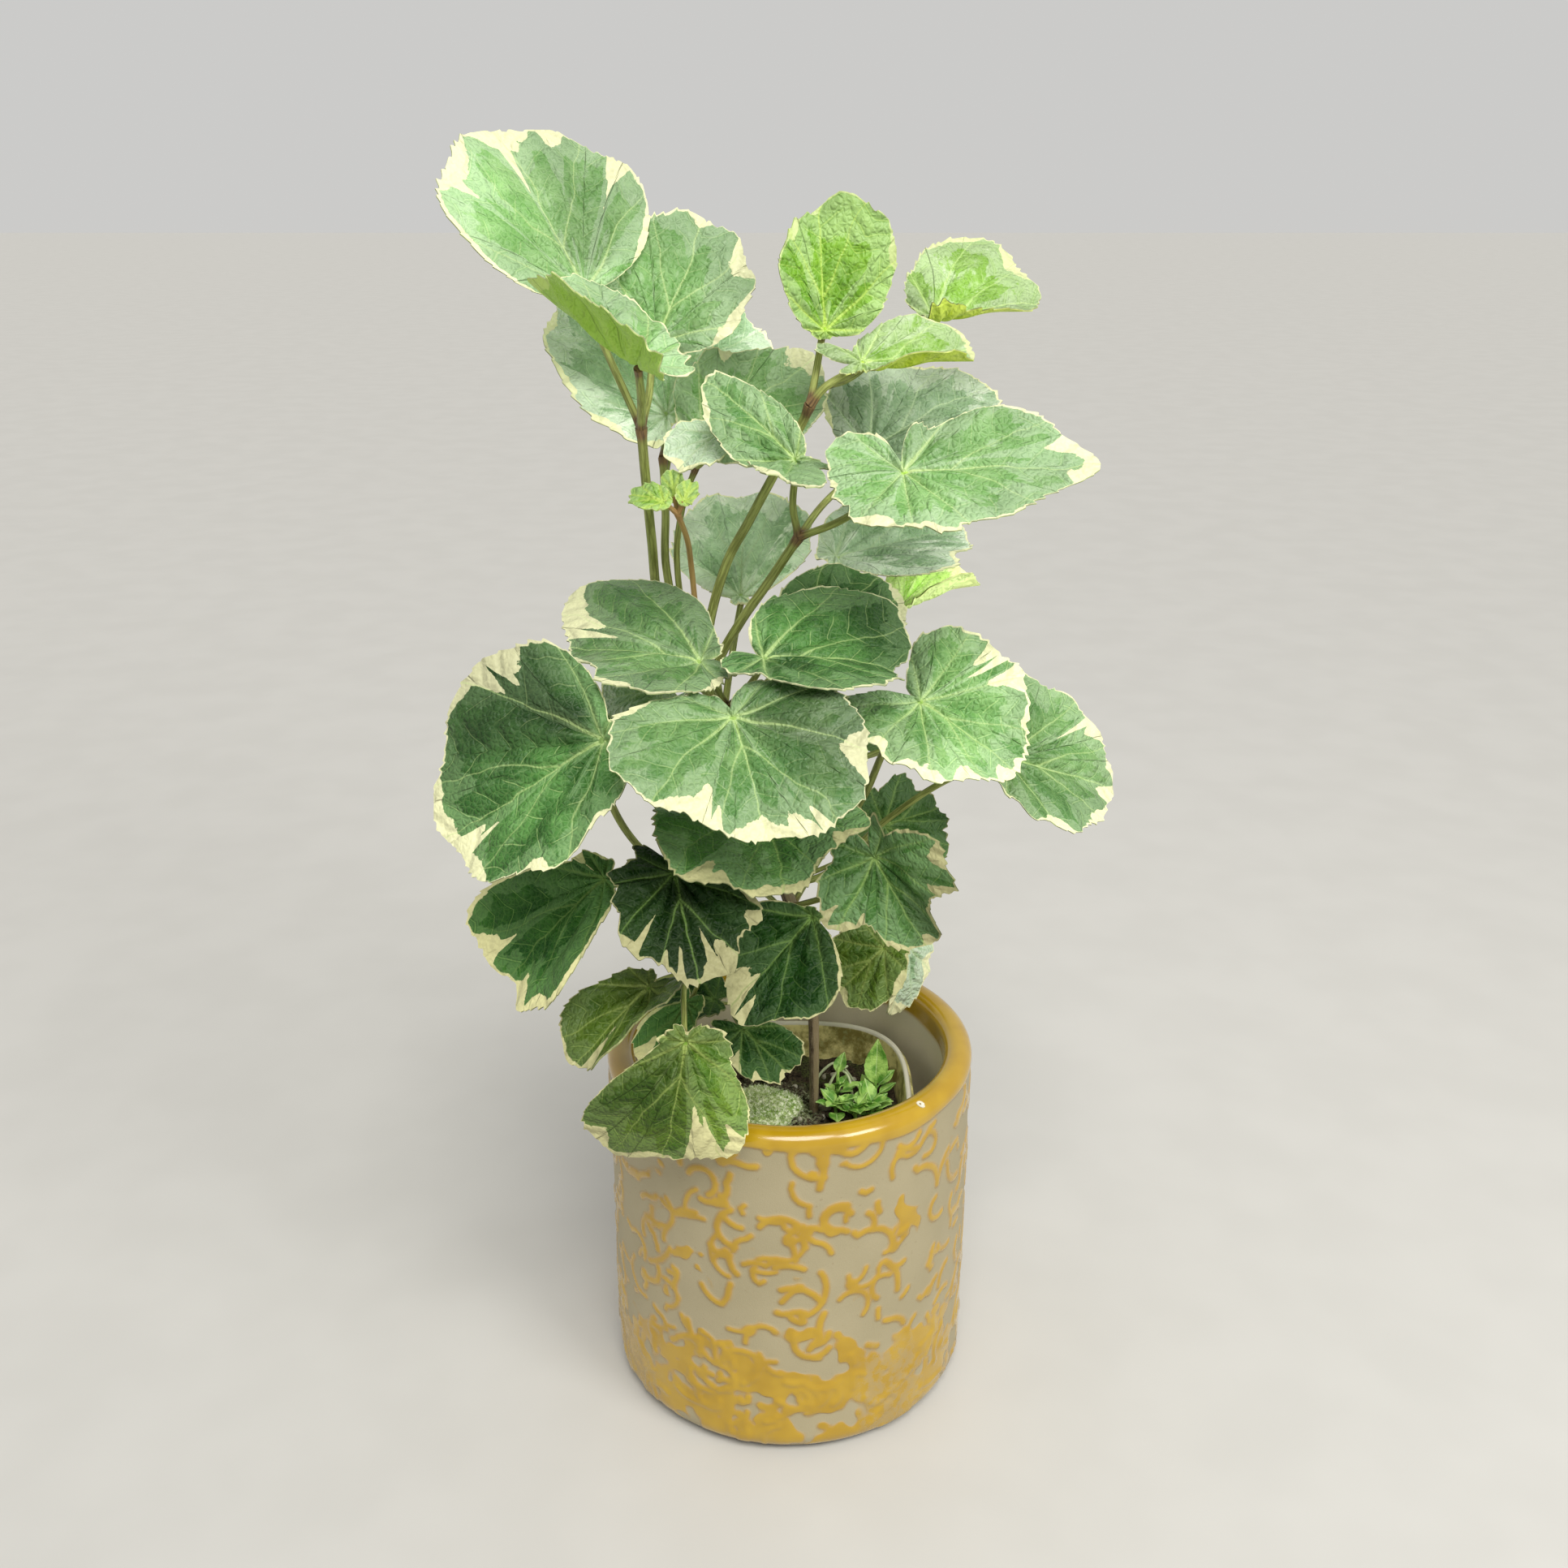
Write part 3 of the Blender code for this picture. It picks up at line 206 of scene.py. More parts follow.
# Each leaf: where its petiole joins it and where its tip points in the picture, how far behind the axis
# it hangs (mm), its length (mm), which way it faces (degrees to the right, degrees up) and its margin.
# Its fold is how far its left and right halves rise (degrees), its crease an (hour, degrees) line that it
# bends along, and its droop how far it curves down from the petiole to the tip (degrees). lobes is how deep
# its margin is cut between the lobes, and notch_at the hour of the notch, which is otherwise at six.
LEAVES = {
    "top_left_1": blade((720, 360), (618, 139), 4, 58, (28, 31), (1, .9, .65, .1, .1, .3, .25, .15, .1, .2,
        .6, .95), (11, 1), 10),
    "top_left_2": blade((788, 448), (662, 372), -38, 41, (50, 66), (1, .85, .55, .4, .35, .4, .4, .4, .45,
        .5, .65, .85), (45, 15), -15),
    "top_left_3": blade((808, 424), (873, 260), 12, 45, (2, 22), (1, .85, .55, .2, .1, .1, .1, .1, .15, .25,
        .6, .9), (9, 8), 15),
    "top_back_1": blade((822, 512), (686, 368), 33, 55, (19, 37), (1, .9, .65, .45, .25, .15, .1, .1, .25,
        .35, .5, .7), (13, 12), 15),
    "top_back_2": blade((829, 462), (938, 398), 58, 37, (0, 35)),
    "centre_back_1": blade((866, 547), (997, 430), 24, 47, (-8, 27), (1, .85, .5, .2, .1, .1, .15, .1, .1,
        .3, .55, .7), (12, 13), 18),
    "centre_back_2": blade((886, 536), (850, 557), 12, 20, (0, 70)),
    "right_high_1": blade((981, 567), (880, 468), -12, 40, (-3, 35), (1, .45, .2, .1, .1, .3, .65, .85, .6,
        .45, .4, .65), (5, 7), 7, crease=((10.5, 52),)),
    "right_high_2": blade((1072, 555), (1224, 453), 28, 50, (-8, 43), (1, .8, .65, .5, .35, .2, .15, .1,
        .25, .5, .6, .7), (13, 12), 18),
    "right_high_3": blade((1113, 583), (1338, 567), -28, 55, (-9, 57), (1, .65, .55, .45, .45, .4, .4, .45,
        .4, .6, .35, .75), (13, 4), 6, notch_at=8.8),
    "young_1": blade((1016, 407), (1009, 250), 8, 37, (15, 8), (1, 1.05, .65, .35, .1, .1, .1, .1, .1, .15,
        .35, .75), (14, 15), -4),
    "young_2": blade((1061, 447), (1191, 430), 5, 36, (4, 42), (1, .75, .25, .1, .15, .25, .45, .45, .15,
        .2, .35, .75), (5, 58), 4),
    "young_3": blade((1149, 391), (1280, 364), 34, 38, (4, 52), (1, .4, .3, .3, .25, .2, .1, .1, .3, .55, 1,
        1.15), (4, 73), 13),
    "inner_back_1": blade((913, 735), (914, 600), 45, 40, (-10, 28), (1, .95, .75, .1, .1, .1, .1, .1, .1,
        .15, .7, .95), (11, 12), 19),
    "inner_right_1": blade((1030, 688), (1193, 636), 36, 52, (-7, 68), (1, .8, .7, .1, .1, .1, .15, .15,
        .15, .25, .5, .9), droop=15),
    "inner_right_2": blade((1112, 744), (1203, 702), 38, 32, (0, 60), (1, .75, .35, .25, .2, .2, .2, .22,
        .25, .35, .65, .95), (15, 60)),
    "inner_right_3": blade((985, 790), (1113, 728), -8, 40, (-1, 49), (1, .8, .65, .5, .4, .3, .25, .25, .3,
        .4, .6, .85), (11, 12), 19),
    "middle_1": blade((941, 812), (1123, 798), -30, 44, (-7, 77), (1, .9, .75, .4, .3, .3, .3, .3, .35, .5,
        .8, 1.15), (18, 11), notch_at=7.8),
    "middle_2": blade((863, 816), (693, 776), -21, 44, (20, 68), (1, 1.3, .95, .4, .25, .3, .3, .25, .4,
        .65, .85, .8), (17, 4), 18, notch_at=5),
    "middle_3": blade((903, 884), (950, 1025), -51, 44, (-2, 61), (1, .9, .95, .85, .45, .35, .4, .35, .4,
        .65, .95, 1.1), (12, 11), 19),
    "left_1": blade((744, 912), (532, 1036), -50, 62, (-20, 35), (1, .9, .8, .55, .15, .1, .1, .15, .15, .3,
        .5, .8), (11, 6), 17),
    "left_2": blade((746, 1083), (610, 1201), -35, 49, (-30, 38), (1, 1.05, .35, .25, .15, .15, .2, .2, .15,
        .15, .4, .95), (20, 17)),
    "left_back_1": blade((815, 850), (735, 856), 0, 21, (0, 55)),
    "low_front_1": blade((831, 1077), (866, 1206), -50, 39, (1, 62), (1, .9, .65, .55, .4, .45, .25, .2,
        .25, .3, .65, .95), (10, 8), 21, lobes=.16),
    "low_front_2": blade((940, 1005), (970, 1082), -28, 40, (3, 83), (1, 1.2, 1.15, .9, .6, .4, .3, .35, .5,
        .7, .9, .85), (13, 15), 17, lobes=.1),
    "low_front_3": blade((1001, 1130), (900, 1241), -40, 40, (8, 45), (1, .75, .45, .15, .1, .1, .15, .1,
        .1, .1, .65, .95), (13, 15), 18, lobes=.1),
    "low_right_1": blade((1078, 1056), (1134, 1166), -28, 35, (-18, 19),
        (1, .85, .8, .65, .5, .6, .65, .45, .3, .8, .95, .85), (37, 17), 28, lobes=.25, lobe_count=5),
    "low_right_2": blade((1090, 1018), (1162, 990), 15, 24, (10, 45), (1, 1.1, .9, .65, .45, .3, .3, .35,
        .5, .65, .75, 1), (13, 13), 21, lobes=.2),
    "right_1": blade((1134, 865), (1254, 939), -20, 38, (-1, 53), (1, .85, .8, .7, .7, .6, .45, .3, .65,
        .75, .85, .9), (15, 13), 17),
    "right_2": blade((1240, 935), (1385, 966), 0, 43, (22, 41), (1, .85, .6, .35, .2, .2, .25, .35, .5, .7,
        .75, .9), (10, 12), 19),
    "low_right_3": blade((1090, 1168), (1030, 1225), -5, 24, (-10, 30)),
    "low_right_4": blade((1118, 1165), (1108, 1256), 14, 27, (49, 8), (1, .4, .1, .1, .15, .15, .2, .3, .45,
        .5, .55, .8), (8, 13), 21),
    "low_left_1": blade((800, 1217), (702, 1309), -48, 34, (-12, 54), (1, .9, .45, .3, .2, .2, .25, .35, .5,
        .55, .45, .75), (41, 2), 19),
    "low_left_2": blade((846, 1236), (794, 1314), -20, 26, (-1, 45), (1, .75, .15, .1, .15, .25, .25, .25,
        .25, .25, .3, .6), (13, 12)),
    "low_left_3": blade((880, 1232), (812, 1222), -10, 20, (0, 70)),
    "rim_left_1": blade((845, 1283), (824, 1429), -72, 43, (10, 21), (1, 1.25, .35, .2, .15, .15, .15, .15,
        .25, .35, .5, 1.1), (-3, -13), 40, lobes=.1),
    "rim_left_2": blade((915, 1268), (974, 1323), -30, 22, (4, 44), (1, .85, .65, .4, .35, .5, .6, .45, .3,
        .2, .4, .95), (11, 12), 19),
    # Behind the rest, where the picture doesn't show them
    "behind_1": hidden((24, 52, 271), (213, -32), 45, (213, 65)),
    "behind_2": hidden((55, 53, 231.5), (199, -9), 46, (199, 68)),
    "behind_3": hidden((-52, 36, 240), (-140, -18), 45, (-140, 60)),
    "behind_4": hidden((20, 46, 198), (170, -20), 40, (170, 58), lobes=.15),
    "behind_5": hidden((-16, 44, 176), (-168, -20), 38, (-168, 58), lobes=.2),
}

# Young shoots too small to be leaves of their own, which belong to the stem's node
SPROUT = {
    "sprout_left": blade((818, 619), (768, 602), -12, 12, (0, 50), BUD, notch=0),
    "sprout_upper": blade((832, 613), (824, 568), -4, 9, (0, 15), BUD, notch=0),
    "sprout_right": blade((843, 618), (852, 590), -10, 8, (0, 35), BUD, notch=0),
}

# The stem from the soil up, then each petiole's radius in mm and its way from the stem to its leaf, as
# (across, down, depth in mm) in the picture
STEM = ((1003, 1300, -1), (1001, 1240, -1), (990, 1170, 0), (966, 1090, 2), (932, 1000, 5), (902, 925, 7),
        (886, 868, 8))
STEM_FOOT = (9 * MM, 2 * MM)
STEM_RADII = (1.7, 1.7, 1.8, 2.1, 2.3, 2.4, 2.3, 1.9)
PETIOLES = {
    "top_left": stalk(1.5, (886, 868, 8), (840, 815, 22), (812, 745, 27), (803, 666, 14), (795, 584, -4),
        (790, 527, -8)),
    "top_left_1": stalk(1.1, (790, 527, -8), (757, 455, 0), (738, 412, 11), on="top_left"),
    "top_left_2": stalk(1.2, (790, 527, -8), (790, 490, -24), on="top_left"),
    "top_left_3": stalk(1.1, (790, 527, -8), (799, 490, 0), (803, 455, 12), on="top_left"),
    "top_back": stalk(1.3, (880, 866, 9), (842, 790, 14), (821, 700, 20), (820, 631, 27), (817, 564, 33)),
    "top_back_1": stalk(.9, (818, 590, 29), (826, 545, 39), on="top_back"),
    "top_back_2": stalk(1.1, (817, 564, 33), (825, 502, 57), on="top_back"),
    "centre_back": stalk(1, (884, 866, 9), (848, 780, 15), (834, 690, 21), (842, 620, 26), (858, 575, 27)),
    "centre_back_1": stalk(.8, (858, 575, 27), (861, 563, 29), on="centre_back"),
    "centre_back_2": stalk(.8, (858, 575, 27), (864, 572, 18), (880, 552, 14), on="centre_back"),
    "young": stalk(1.5, (888, 872, 8), (872, 790, 10), (893, 700, 9), (924, 640, 8), (952, 588, 9),
        (986, 526, 9), (998, 499, 6)),
    "young_1": stalk(1.1, (998, 499, 6), (1007, 450, 13), on="young"),
    "young_2": stalk(1.2, (998, 499, 6), (1018, 476, 5), on="young"),
    "young_3": stalk(.9, (1014, 480, 5), (1050, 465, 22), (1100, 425, 34), on="young_2"),
    "right_high": stalk(1.5, (888, 876, 8), (884, 820, 8), (912, 767, 7), (945, 720, 5), (984, 662, 2)),
    "right_high_1": stalk(1.1, (984, 662, 2), (977, 625, -1), (979, 592, -6), on="right_high"),
    "right_high_2": stalk(1.1, (984, 662, 2), (1012, 624, 14), (1048, 588, 31), on="right_high"),
    "right_high_3": stalk(1.1, (984, 662, 2), (1035, 642, -6), (1085, 610, -16), on="right_high"),
    "inner_back_1": stalk(1.1, (892, 880, 9), (900, 820, 22), (908, 770, 40)),
    "inner_right": stalk(1.2, (897, 900, 8), (925, 862, 16), (970, 815, 26), (1000, 770, 32)),
    "inner_right_1": stalk(1, (1000, 770, 32), (1015, 725, 35), on="inner_right"),
    "inner_right_2": stalk(.8, (985, 790, 29), (1045, 775, 36), (1090, 760, 40), on="inner_right"),
    "inner_right_3": stalk(1, (925, 862, 16), (955, 830, 12), on="inner_right"),
    "middle": stalk(1.4, (900, 915, 7), (897, 890, -8), (897, 872, -20)),
    "middle_1": stalk(1, (897, 872, -20), (925, 842, -26), on="middle"),
    "middle_2": stalk(1, (897, 872, -20), (878, 842, -20), on="middle"),
    "middle_3": stalk(1.1, (897, 872, -20), (901, 892, -40), on="middle"),
    "left_1": stalk(1.2, (975, 1120, 1), (860, 1105, -4), (788, 1044, -12), (753, 990, -22),
        (745, 945, -36)),
    "left_2": stalk(1.1, (978, 1130, 1), (850, 1120, -8), (775, 1095, -20)),
    "left_back_1": stalk(.8, (893, 893, 7), (850, 875, 5)),
    "low_front_1": stalk(1.1, (985, 1150, 0), (900, 1125, -14), (848, 1095, -34)),
    "low_front_2": stalk(1.1, (935, 1008, 5), (938, 1020, -14)),
    "low_front_3": stalk(1, (992, 1178, 0), (1002, 1150, -24)),
    "low_right_1": stalk(1, (977, 1125, 1), (1030, 1100, -8), (1066, 1070, -18)),
    "low_right_2": stalk(.8, (966, 1090, 2), (1045, 1055, 12)),
    "right_1": stalk(1.2, (955, 1062, 3), (1015, 1045, 4), (1062, 985, 2), (1089, 926, -4),
        (1118, 885, -12)),
    "right_2": stalk(1.1, (969, 1100, 2), (1020, 1075, 5), (1090, 1012, 7), (1165, 962, 5)),
    "low_right": stalk(.9, (997, 1210, -1), (1040, 1185, 4)),
    "low_right_3": stalk(.7, (1040, 1185, 4), (1076, 1160, 5), on="low_right"),
    "low_right_4": stalk(.7, (1040, 1185, 4), (1095, 1158, 16), on="low_right"),
    "low_left": stalk(1, (994, 1188, -1), (930, 1185, -12), (870, 1190, -26)),
    "low_left_1": stalk(.8, (870, 1190, -26), (812, 1208, -38), on="low_left"),
    "low_left_2": stalk(.7, (870, 1190, -26), (856, 1222, -16), on="low_left"),
    "low_left_3": stalk(.6, (930, 1185, -12), (908, 1232, 0), on="low_left"),
    "rim_left_1": stalk(.9, (870, 1190, -26), (845, 1210, -46), (843, 1255, -64), on="low_left"),
    "rim_left_2": stalk(.7, (998, 1222, -1), (940, 1225, -12), (905, 1245, -22)),
    "behind_1": stalk(1, (7.6, 32, 275), (17, 44, 264), on="inner_right", in_mm=True),
    "behind_2": stalk(1.1, (-6, 6, 236), (22, 30, 226), (44, 46, 228), in_mm=True),
    "behind_3": stalk(1.1, (-10, 7, 240), (-32, 22, 238), (-46, 31, 236), in_mm=True),
    "behind_4": stalk(1, (4, 2, 186), (12, 24, 192), (18, 40, 193), in_mm=True),
    "behind_5": stalk(1, (6, 0, 168), (-4, 22, 172), (-12, 38, 172), in_mm=True),
    "sprout": stalk(.9, (884, 868, 9), (862, 780, 13), (852, 700, 10), (847, 666, 1), (835, 633, -8)),
    "sprout_left": stalk(.7, (835, 633, -8), (818, 619, -12), on="sprout"),
    "sprout_upper": stalk(.7, (835, 633, -8), (832, 613, -4), on="sprout"),
    "sprout_right": stalk(.7, (835, 633, -8), (843, 618, -10), on="sprout"),
}

WEED_STALK = (0.7 * MM, 0.55 * MM)
WEED_SHEET = 0.15 * MM  # half the thickness of a small leaf
WEED_SIDES = 72
WEED_RINGS = (.02, .25, .5, .75, .92, 1)  # shares of the way to the margin
WEED_TEETH = 15  # to a side
# Weeds in the soil: where each stalk stands, how its leaf points (degrees round, up) and its sizes in mm
WEEDS = (
    dict(foot=(32, 8), height=8, heading=80, rise=75, length=17, width=9),
    dict(foot=(17, -2), height=6, heading=-50, rise=25, length=8, width=6),
    dict(foot=(24, -6), height=6, heading=-80, rise=20, length=8, width=6),
    dict(foot=(30, -3), height=6, heading=-30, rise=30, length=9, width=6),
    dict(foot=(18, 9), height=12, heading=60, rise=50, length=8, width=5),
)


def sight(across, down):
    """The direction that a place in the picture is seen in."""
    right, drop = across - VIEW_WIDTH / 2, down - VIEW_WIDTH / 2
    way = VIEW_FORWARD + (VIEW_RIGHT * right - VIEW_UP * drop) / VIEW_FOCAL
    return way / np.linalg.norm(way)


def seen_at(across, down, depth):
    """The place so far behind the pot's axis that the picture shows there."""
    way = sight(across, down)
    return VIEW_EYE + way * (depth - VIEW_EYE[1]) / way[1]


def seen_on(across, down, point, normal):
    """The place that the picture shows there on a plane."""
    way = sight(across, down)
    return VIEW_EYE + way * np.dot(point - VIEW_EYE, normal) / np.dot(way, normal)


def facing(azimuth, elevation):
    """A direction so many degrees to the right of the front and so many up."""
    a, e = math.radians(azimuth), math.radians(elevation)
    return np.array([math.sin(a) * math.cos(e), -math.cos(a) * math.cos(e), math.sin(e)])


def smooth(share):
    share = np.clip(share, 0, 1)
    return share * share * (3 - 2 * share)


def between(a, b, c, d, share):
    """A place on the smooth curve from b to c, of which a and d are the neighbours."""
    return b + .5 * share * (c - a + share * (2 * a - 5 * b + 4 * c - d + share * (3 * (b - c) + d - a)))


def clock(values, angle):
    """A smooth closed curve through values at equal steps of a turn."""
    values = np.asarray(values, float)
    step = (angle / (2 * np.pi) * len(values)) % len(values)
    first = np.floor(step).astype(int)
    return between(*(values[(first + k) % len(values)] for k in (-1, 0, 1, 2)), step - first)


def ripple(angle, seed, low, high):
    """A sum of waves round the margin, from low to high in number, with amounts drawn from the seed."""
    draw = np.random.default_rng(seed)
    total = np.zeros_like(angle)
    for count in range(low, high):
        total += draw.uniform(-1, 1) * np.cos(count * angle + draw.uniform(0, 2 * np.pi))
    return total / math.sqrt(high - low)


def turns(count):
    """So many angles at equal steps of a turn."""
    return 2 * np.pi * np.arange(count) / count


def wrapped(angle):
    """The same angle between minus and plus half a turn."""
    return (angle + np.pi) % (2 * np.pi) - np.pi


def reach(leaf, angle):
    """Share of the leaf's length from the petiole to the margin, at an angle clockwise from the tip."""
    off = wrapped(angle)
    share = clock(leaf["margin"], angle)
    from_notch = wrapped(angle - leaf.get("notch_at", 6) * HOUR)
    share *= 1 - leaf.get("notch", .85) * np.exp(-(from_notch / NOTCH_WIDTH) ** 2)
    if "lobes" in leaf:
        near = (1 + np.cos(off * leaf.get("lobe_count", 7))) / 2
        fade = np.clip((LOBES_END - np.abs(off)) / .4, 0, 1)
        share *= 1 - leaf["lobes"] * (1 - near ** .6) * fade
    return np.maximum(share, LEAST_REACH)


def leaf_frame(leaf):
    """Where the petiole joins, the ways to the tip and to the left, the upper face's normal, the length."""
    normal = facing(*leaf["face"])
    if "at" in leaf:
        base = np.array(leaf["at"]) * MM
        way = facing(*leaf["heading"])
        ahead = way - normal * np.dot(way, normal)
    else:
        base = seen_at(*leaf["base"], leaf["y"] * MM)
        ahead = seen_on(*leaf["tip"], base, normal) - base
    ahead /= np.linalg.norm(ahead)
    return base, ahead, np.cross(normal, ahead), normal, leaf["length"] * MM


def blade_points(leaf, angle, share, seed, tooth=0.0):
    """Points of the blade's middle surface, at angles clockwise from the tip and shares of the way out."""
    base, ahead, left, normal, size = leaf_frame(leaf)
    full = reach(leaf, angle)
    out = share * full * (1 + tooth) * size
    x, y = out * np.cos(angle), -out * np.sin(angle)
    rise_left, rise_right = leaf["fold"]
    lean = np.radians(np.where(y > 0, rise_left, rise_right)) * smooth(np.abs(y) / (FOLD_WIDTH * size))
    z = np.abs(y) * np.sin(lean)
    y = y * np.cos(lean)
    for hour, degrees in leaf.get("crease", ()):
        c, s = math.cos(hour * HOUR), -math.sin(hour * HOUR)
        side = -1 if hour < 6 else 1
        along, across = x * c + y * s, side * (y * c - x * s)
        beyond = np.maximum(across, 0)
        turn = math.radians(degrees) * smooth(beyond / (CREASE_WIDTH * size))
        z = z + beyond * np.sin(turn)
        across = side * np.where(across > 0, beyond * np.cos(turn), across)
        x, y = along * c - across * s, along * s + across * c
    z = z + WAVE * out * share * ripple(angle, seed, 3, 8)
    droop = math.radians(leaf["droop"])
    if droop:
        radius = size / droop
        x, z = (radius + z) * np.sin(x / radius), (radius + z) * np.cos(x / radius) - radius
    return base + np.outer(x, ahead) + np.outer(y, left) + np.outer(z, normal)


def curve_through(places, steps):
    """Points on a smooth curve through places, so many to each stretch."""
    places = np.asarray(places, float)
    ends = np.vstack([2 * places[0] - places[1], places, 2 * places[-1] - places[-2]])
    points = [between(*ends[k:k + 4], share)
              for k in range(len(places) - 1) for share in np.arange(steps) / steps]
    return np.array(points + [places[-1]])


def travelled(line):
    """How far along a line each of its points is."""
    return np.concatenate([[0], np.cumsum(np.linalg.norm(np.diff(line, axis=0), axis=1))])


def seat(leaf, before, radius):
    """Where a petiole that comes from a point ends, just clear of the underside of its leaf."""
    base, _, _, normal, _ = leaf_frame(leaf)
    way = (base - before) / np.linalg.norm(base - before)
    clear = BLADE_THICKNESS / 2 + 1.4 * GAP + radius * math.sqrt(max(0, 1 - np.dot(way, normal) ** 2))
    return base - normal * clear


def square_ring(half, height):
    """A ring of points round a square with round corners."""
    points = []
    for k in range(LINER_SIDES):
        turn = 2 * math.pi * (k + .5) / LINER_SIDES
        c, s = math.cos(turn), math.sin(turn)
        size = half * (abs(c) ** LINER_SQUARENESS + abs(s) ** LINER_SQUARENESS) ** (-1 / LINER_SQUARENESS)
        points.append((size * c, size * s, height))
    return points


def liner_inside(height):
    """Half the width inside the nursery pot at a height."""
    share = (height - LINER_FOOT_Z) / (LINER_TOP_Z - LINER_FOOT_Z)
    return LINER_FOOT_HALF + (LINER_TOP_HALF - LINER_RIM_OUT - LINER_FOOT_HALF) * share - LINER_WALL


def soil_height(x, y):
    """The soil's top, a little lower and higher from place to place."""
    return SOIL_Z + SOIL_BUMP * (math.sin(x / SOIL_LUMP) * math.cos(y / SOIL_LUMP) - .6)


def piece(name, points, faces, finish, values=None, vectors=None, sharp=40):
    """A mesh object that rides on the plant's only body, with numbers and vectors stored at its points."""
    mesh = bpy.data.meshes.new(name)
    mesh.from_pydata(np.asarray(points, float).tolist(), [], [list(face) for face in faces])
    mesh.materials.append(finish)
    for key, numbers in (values or {}).items():
        layer = mesh.attributes.new(key, "FLOAT", "POINT")
        layer.data.foreach_set("value", np.asarray(numbers, np.float32))
    for key, rows in (vectors or {}).items():
        layer = mesh.attributes.new(key, "FLOAT_VECTOR", "POINT")
        layer.data.foreach_set("vector", np.asarray(rows, np.float32).ravel())
    mesh.shade_smooth()
    if sharp:
        mesh.set_sharp_from_angle(angle=math.radians(sharp))
    made = bpy.data.objects.new(name, mesh)
    bpy.context.scene.collection.objects.link(made)
    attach(made, BODY)
    return made


class Value:
    """A number that a node gives. Sums with it make further nodes."""

    def __init__(self, graph, socket):
        self.graph, self.socket = graph, socket

    def __add__(self, other):
        return self.graph.math("ADD", self, other)

    def __sub__(self, other):
        return self.graph.math("SUBTRACT", self, other)

    def __rsub__(self, other):
        return self.graph.math("SUBTRACT", other, self)

    def __mul__(self, other):
        return self.graph.math("MULTIPLY", self, other)

    def __truediv__(self, other):
        return self.graph.math("DIVIDE", self, other)

    def __abs__(self):
        return self.graph.math("ABSOLUTE", self)


class Graph:
    """Short calls that build one material's nodes."""

    def __init__(self, name, **sockets):
        self.material = bpy.data.materials.new(name)
        self.material.use_nodes = True
        self.tree = self.material.node_tree
        self.shader = self.tree.nodes["Principled BSDF"]
        for socket, value in sockets.items():
            self.shader.inputs[socket.replace("_", " ")].default_value = value

    def node(self, kind, inputs, **settings):
        made = self.tree.nodes.new("ShaderNode" + kind)
        for key, value in settings.items():
            setattr(made, key, value)
        for socket, value in inputs.items():
            self.put(made.inputs[socket], value)
        return made

    def put(self, socket, value):
        value = value.socket if isinstance(value, Value) else value
        if isinstance(value, bpy.types.NodeSocket):
            self.tree.links.new(value, socket)
        elif hasattr(value, "__len__") and len(value) == 3 and socket.type == "RGBA":
            socket.default_value = (*value, 1)
        else:
            socket.default_value = value

    def math(self, operation, *values):
        return Value(self, self.node("Math", dict(enumerate(values)), operation=operation).outputs[0])

    def number(self, key):
        return Value(self, self.node("Attribute", {}, attribute_name=key).outputs["Fac"])

    def vector(self, key):
        return self.node("Attribute", {}, attribute_name=key).outputs["Vector"]

    def parts(self, vector):
        return [Value(self, part) for part in self.node("SeparateXYZ", {0: vector}).outputs]

    def noise(self, vector, scale, detail=2.0, roughness=.5):
        inputs = {"Vector": vector, "Scale": scale, "Detail": detail, "Roughness": roughness}
        return Value(self, self.node("TexNoise", inputs).outputs["Fac"])

    def cells(self, vector, scale):
        """How far a place is from the border of its cell."""
        made = self.node("TexVoronoi", {"Vector": vector, "Scale": scale}, feature="DISTANCE_TO_EDGE")
        return Value(self, made.outputs["Distance"])

    def dimmed(self, colour, share):
        return self.node("VectorMath", {0: colour, 3: share}, operation="SCALE").outputs[0]

    def scaled(self, vector, size):
        return self.node("Mapping", {"Vector": vector, "Scale": size}).outputs[0]

    def ramp(self, value, low, high, first=0.0, last=1.0):
        inputs = {"Value": value, "From Min": low, "From Max": high, "To Min": first, "To Max": last}
        return Value(self, self.node("MapRange", inputs, interpolation_type="SMOOTHSTEP").outputs[0])

    def mix(self, share, one, other):
        made = self.node("Mix", {}, data_type="RGBA")
        for socket, value in ((made.inputs[0], share), (made.inputs[6], one), (made.inputs[7], other)):
            self.put(socket, value)
        return made.outputs[2]

    def place(self):
        """Where a point is, in millimetres."""
        spot = self.node("TexCoord", {}).outputs["Object"]
        return self.node("VectorMath", {0: spot, 1: (1000, 1000, 1000)}, operation="MULTIPLY").outputs[0]

    def bump(self, height, distance, strength=1.0):
        """Relief, from a height that goes from 0 to 1."""
        made = self.node("Bump", {"Strength": strength, "Distance": distance, "Height": height})
        self.put(self.shader.inputs["Normal"], made.outputs[0])

    def use(self, **links):
        for socket, value in links.items():
            self.put(self.shader.inputs[socket.replace("_", " ")], value)
        return self.material


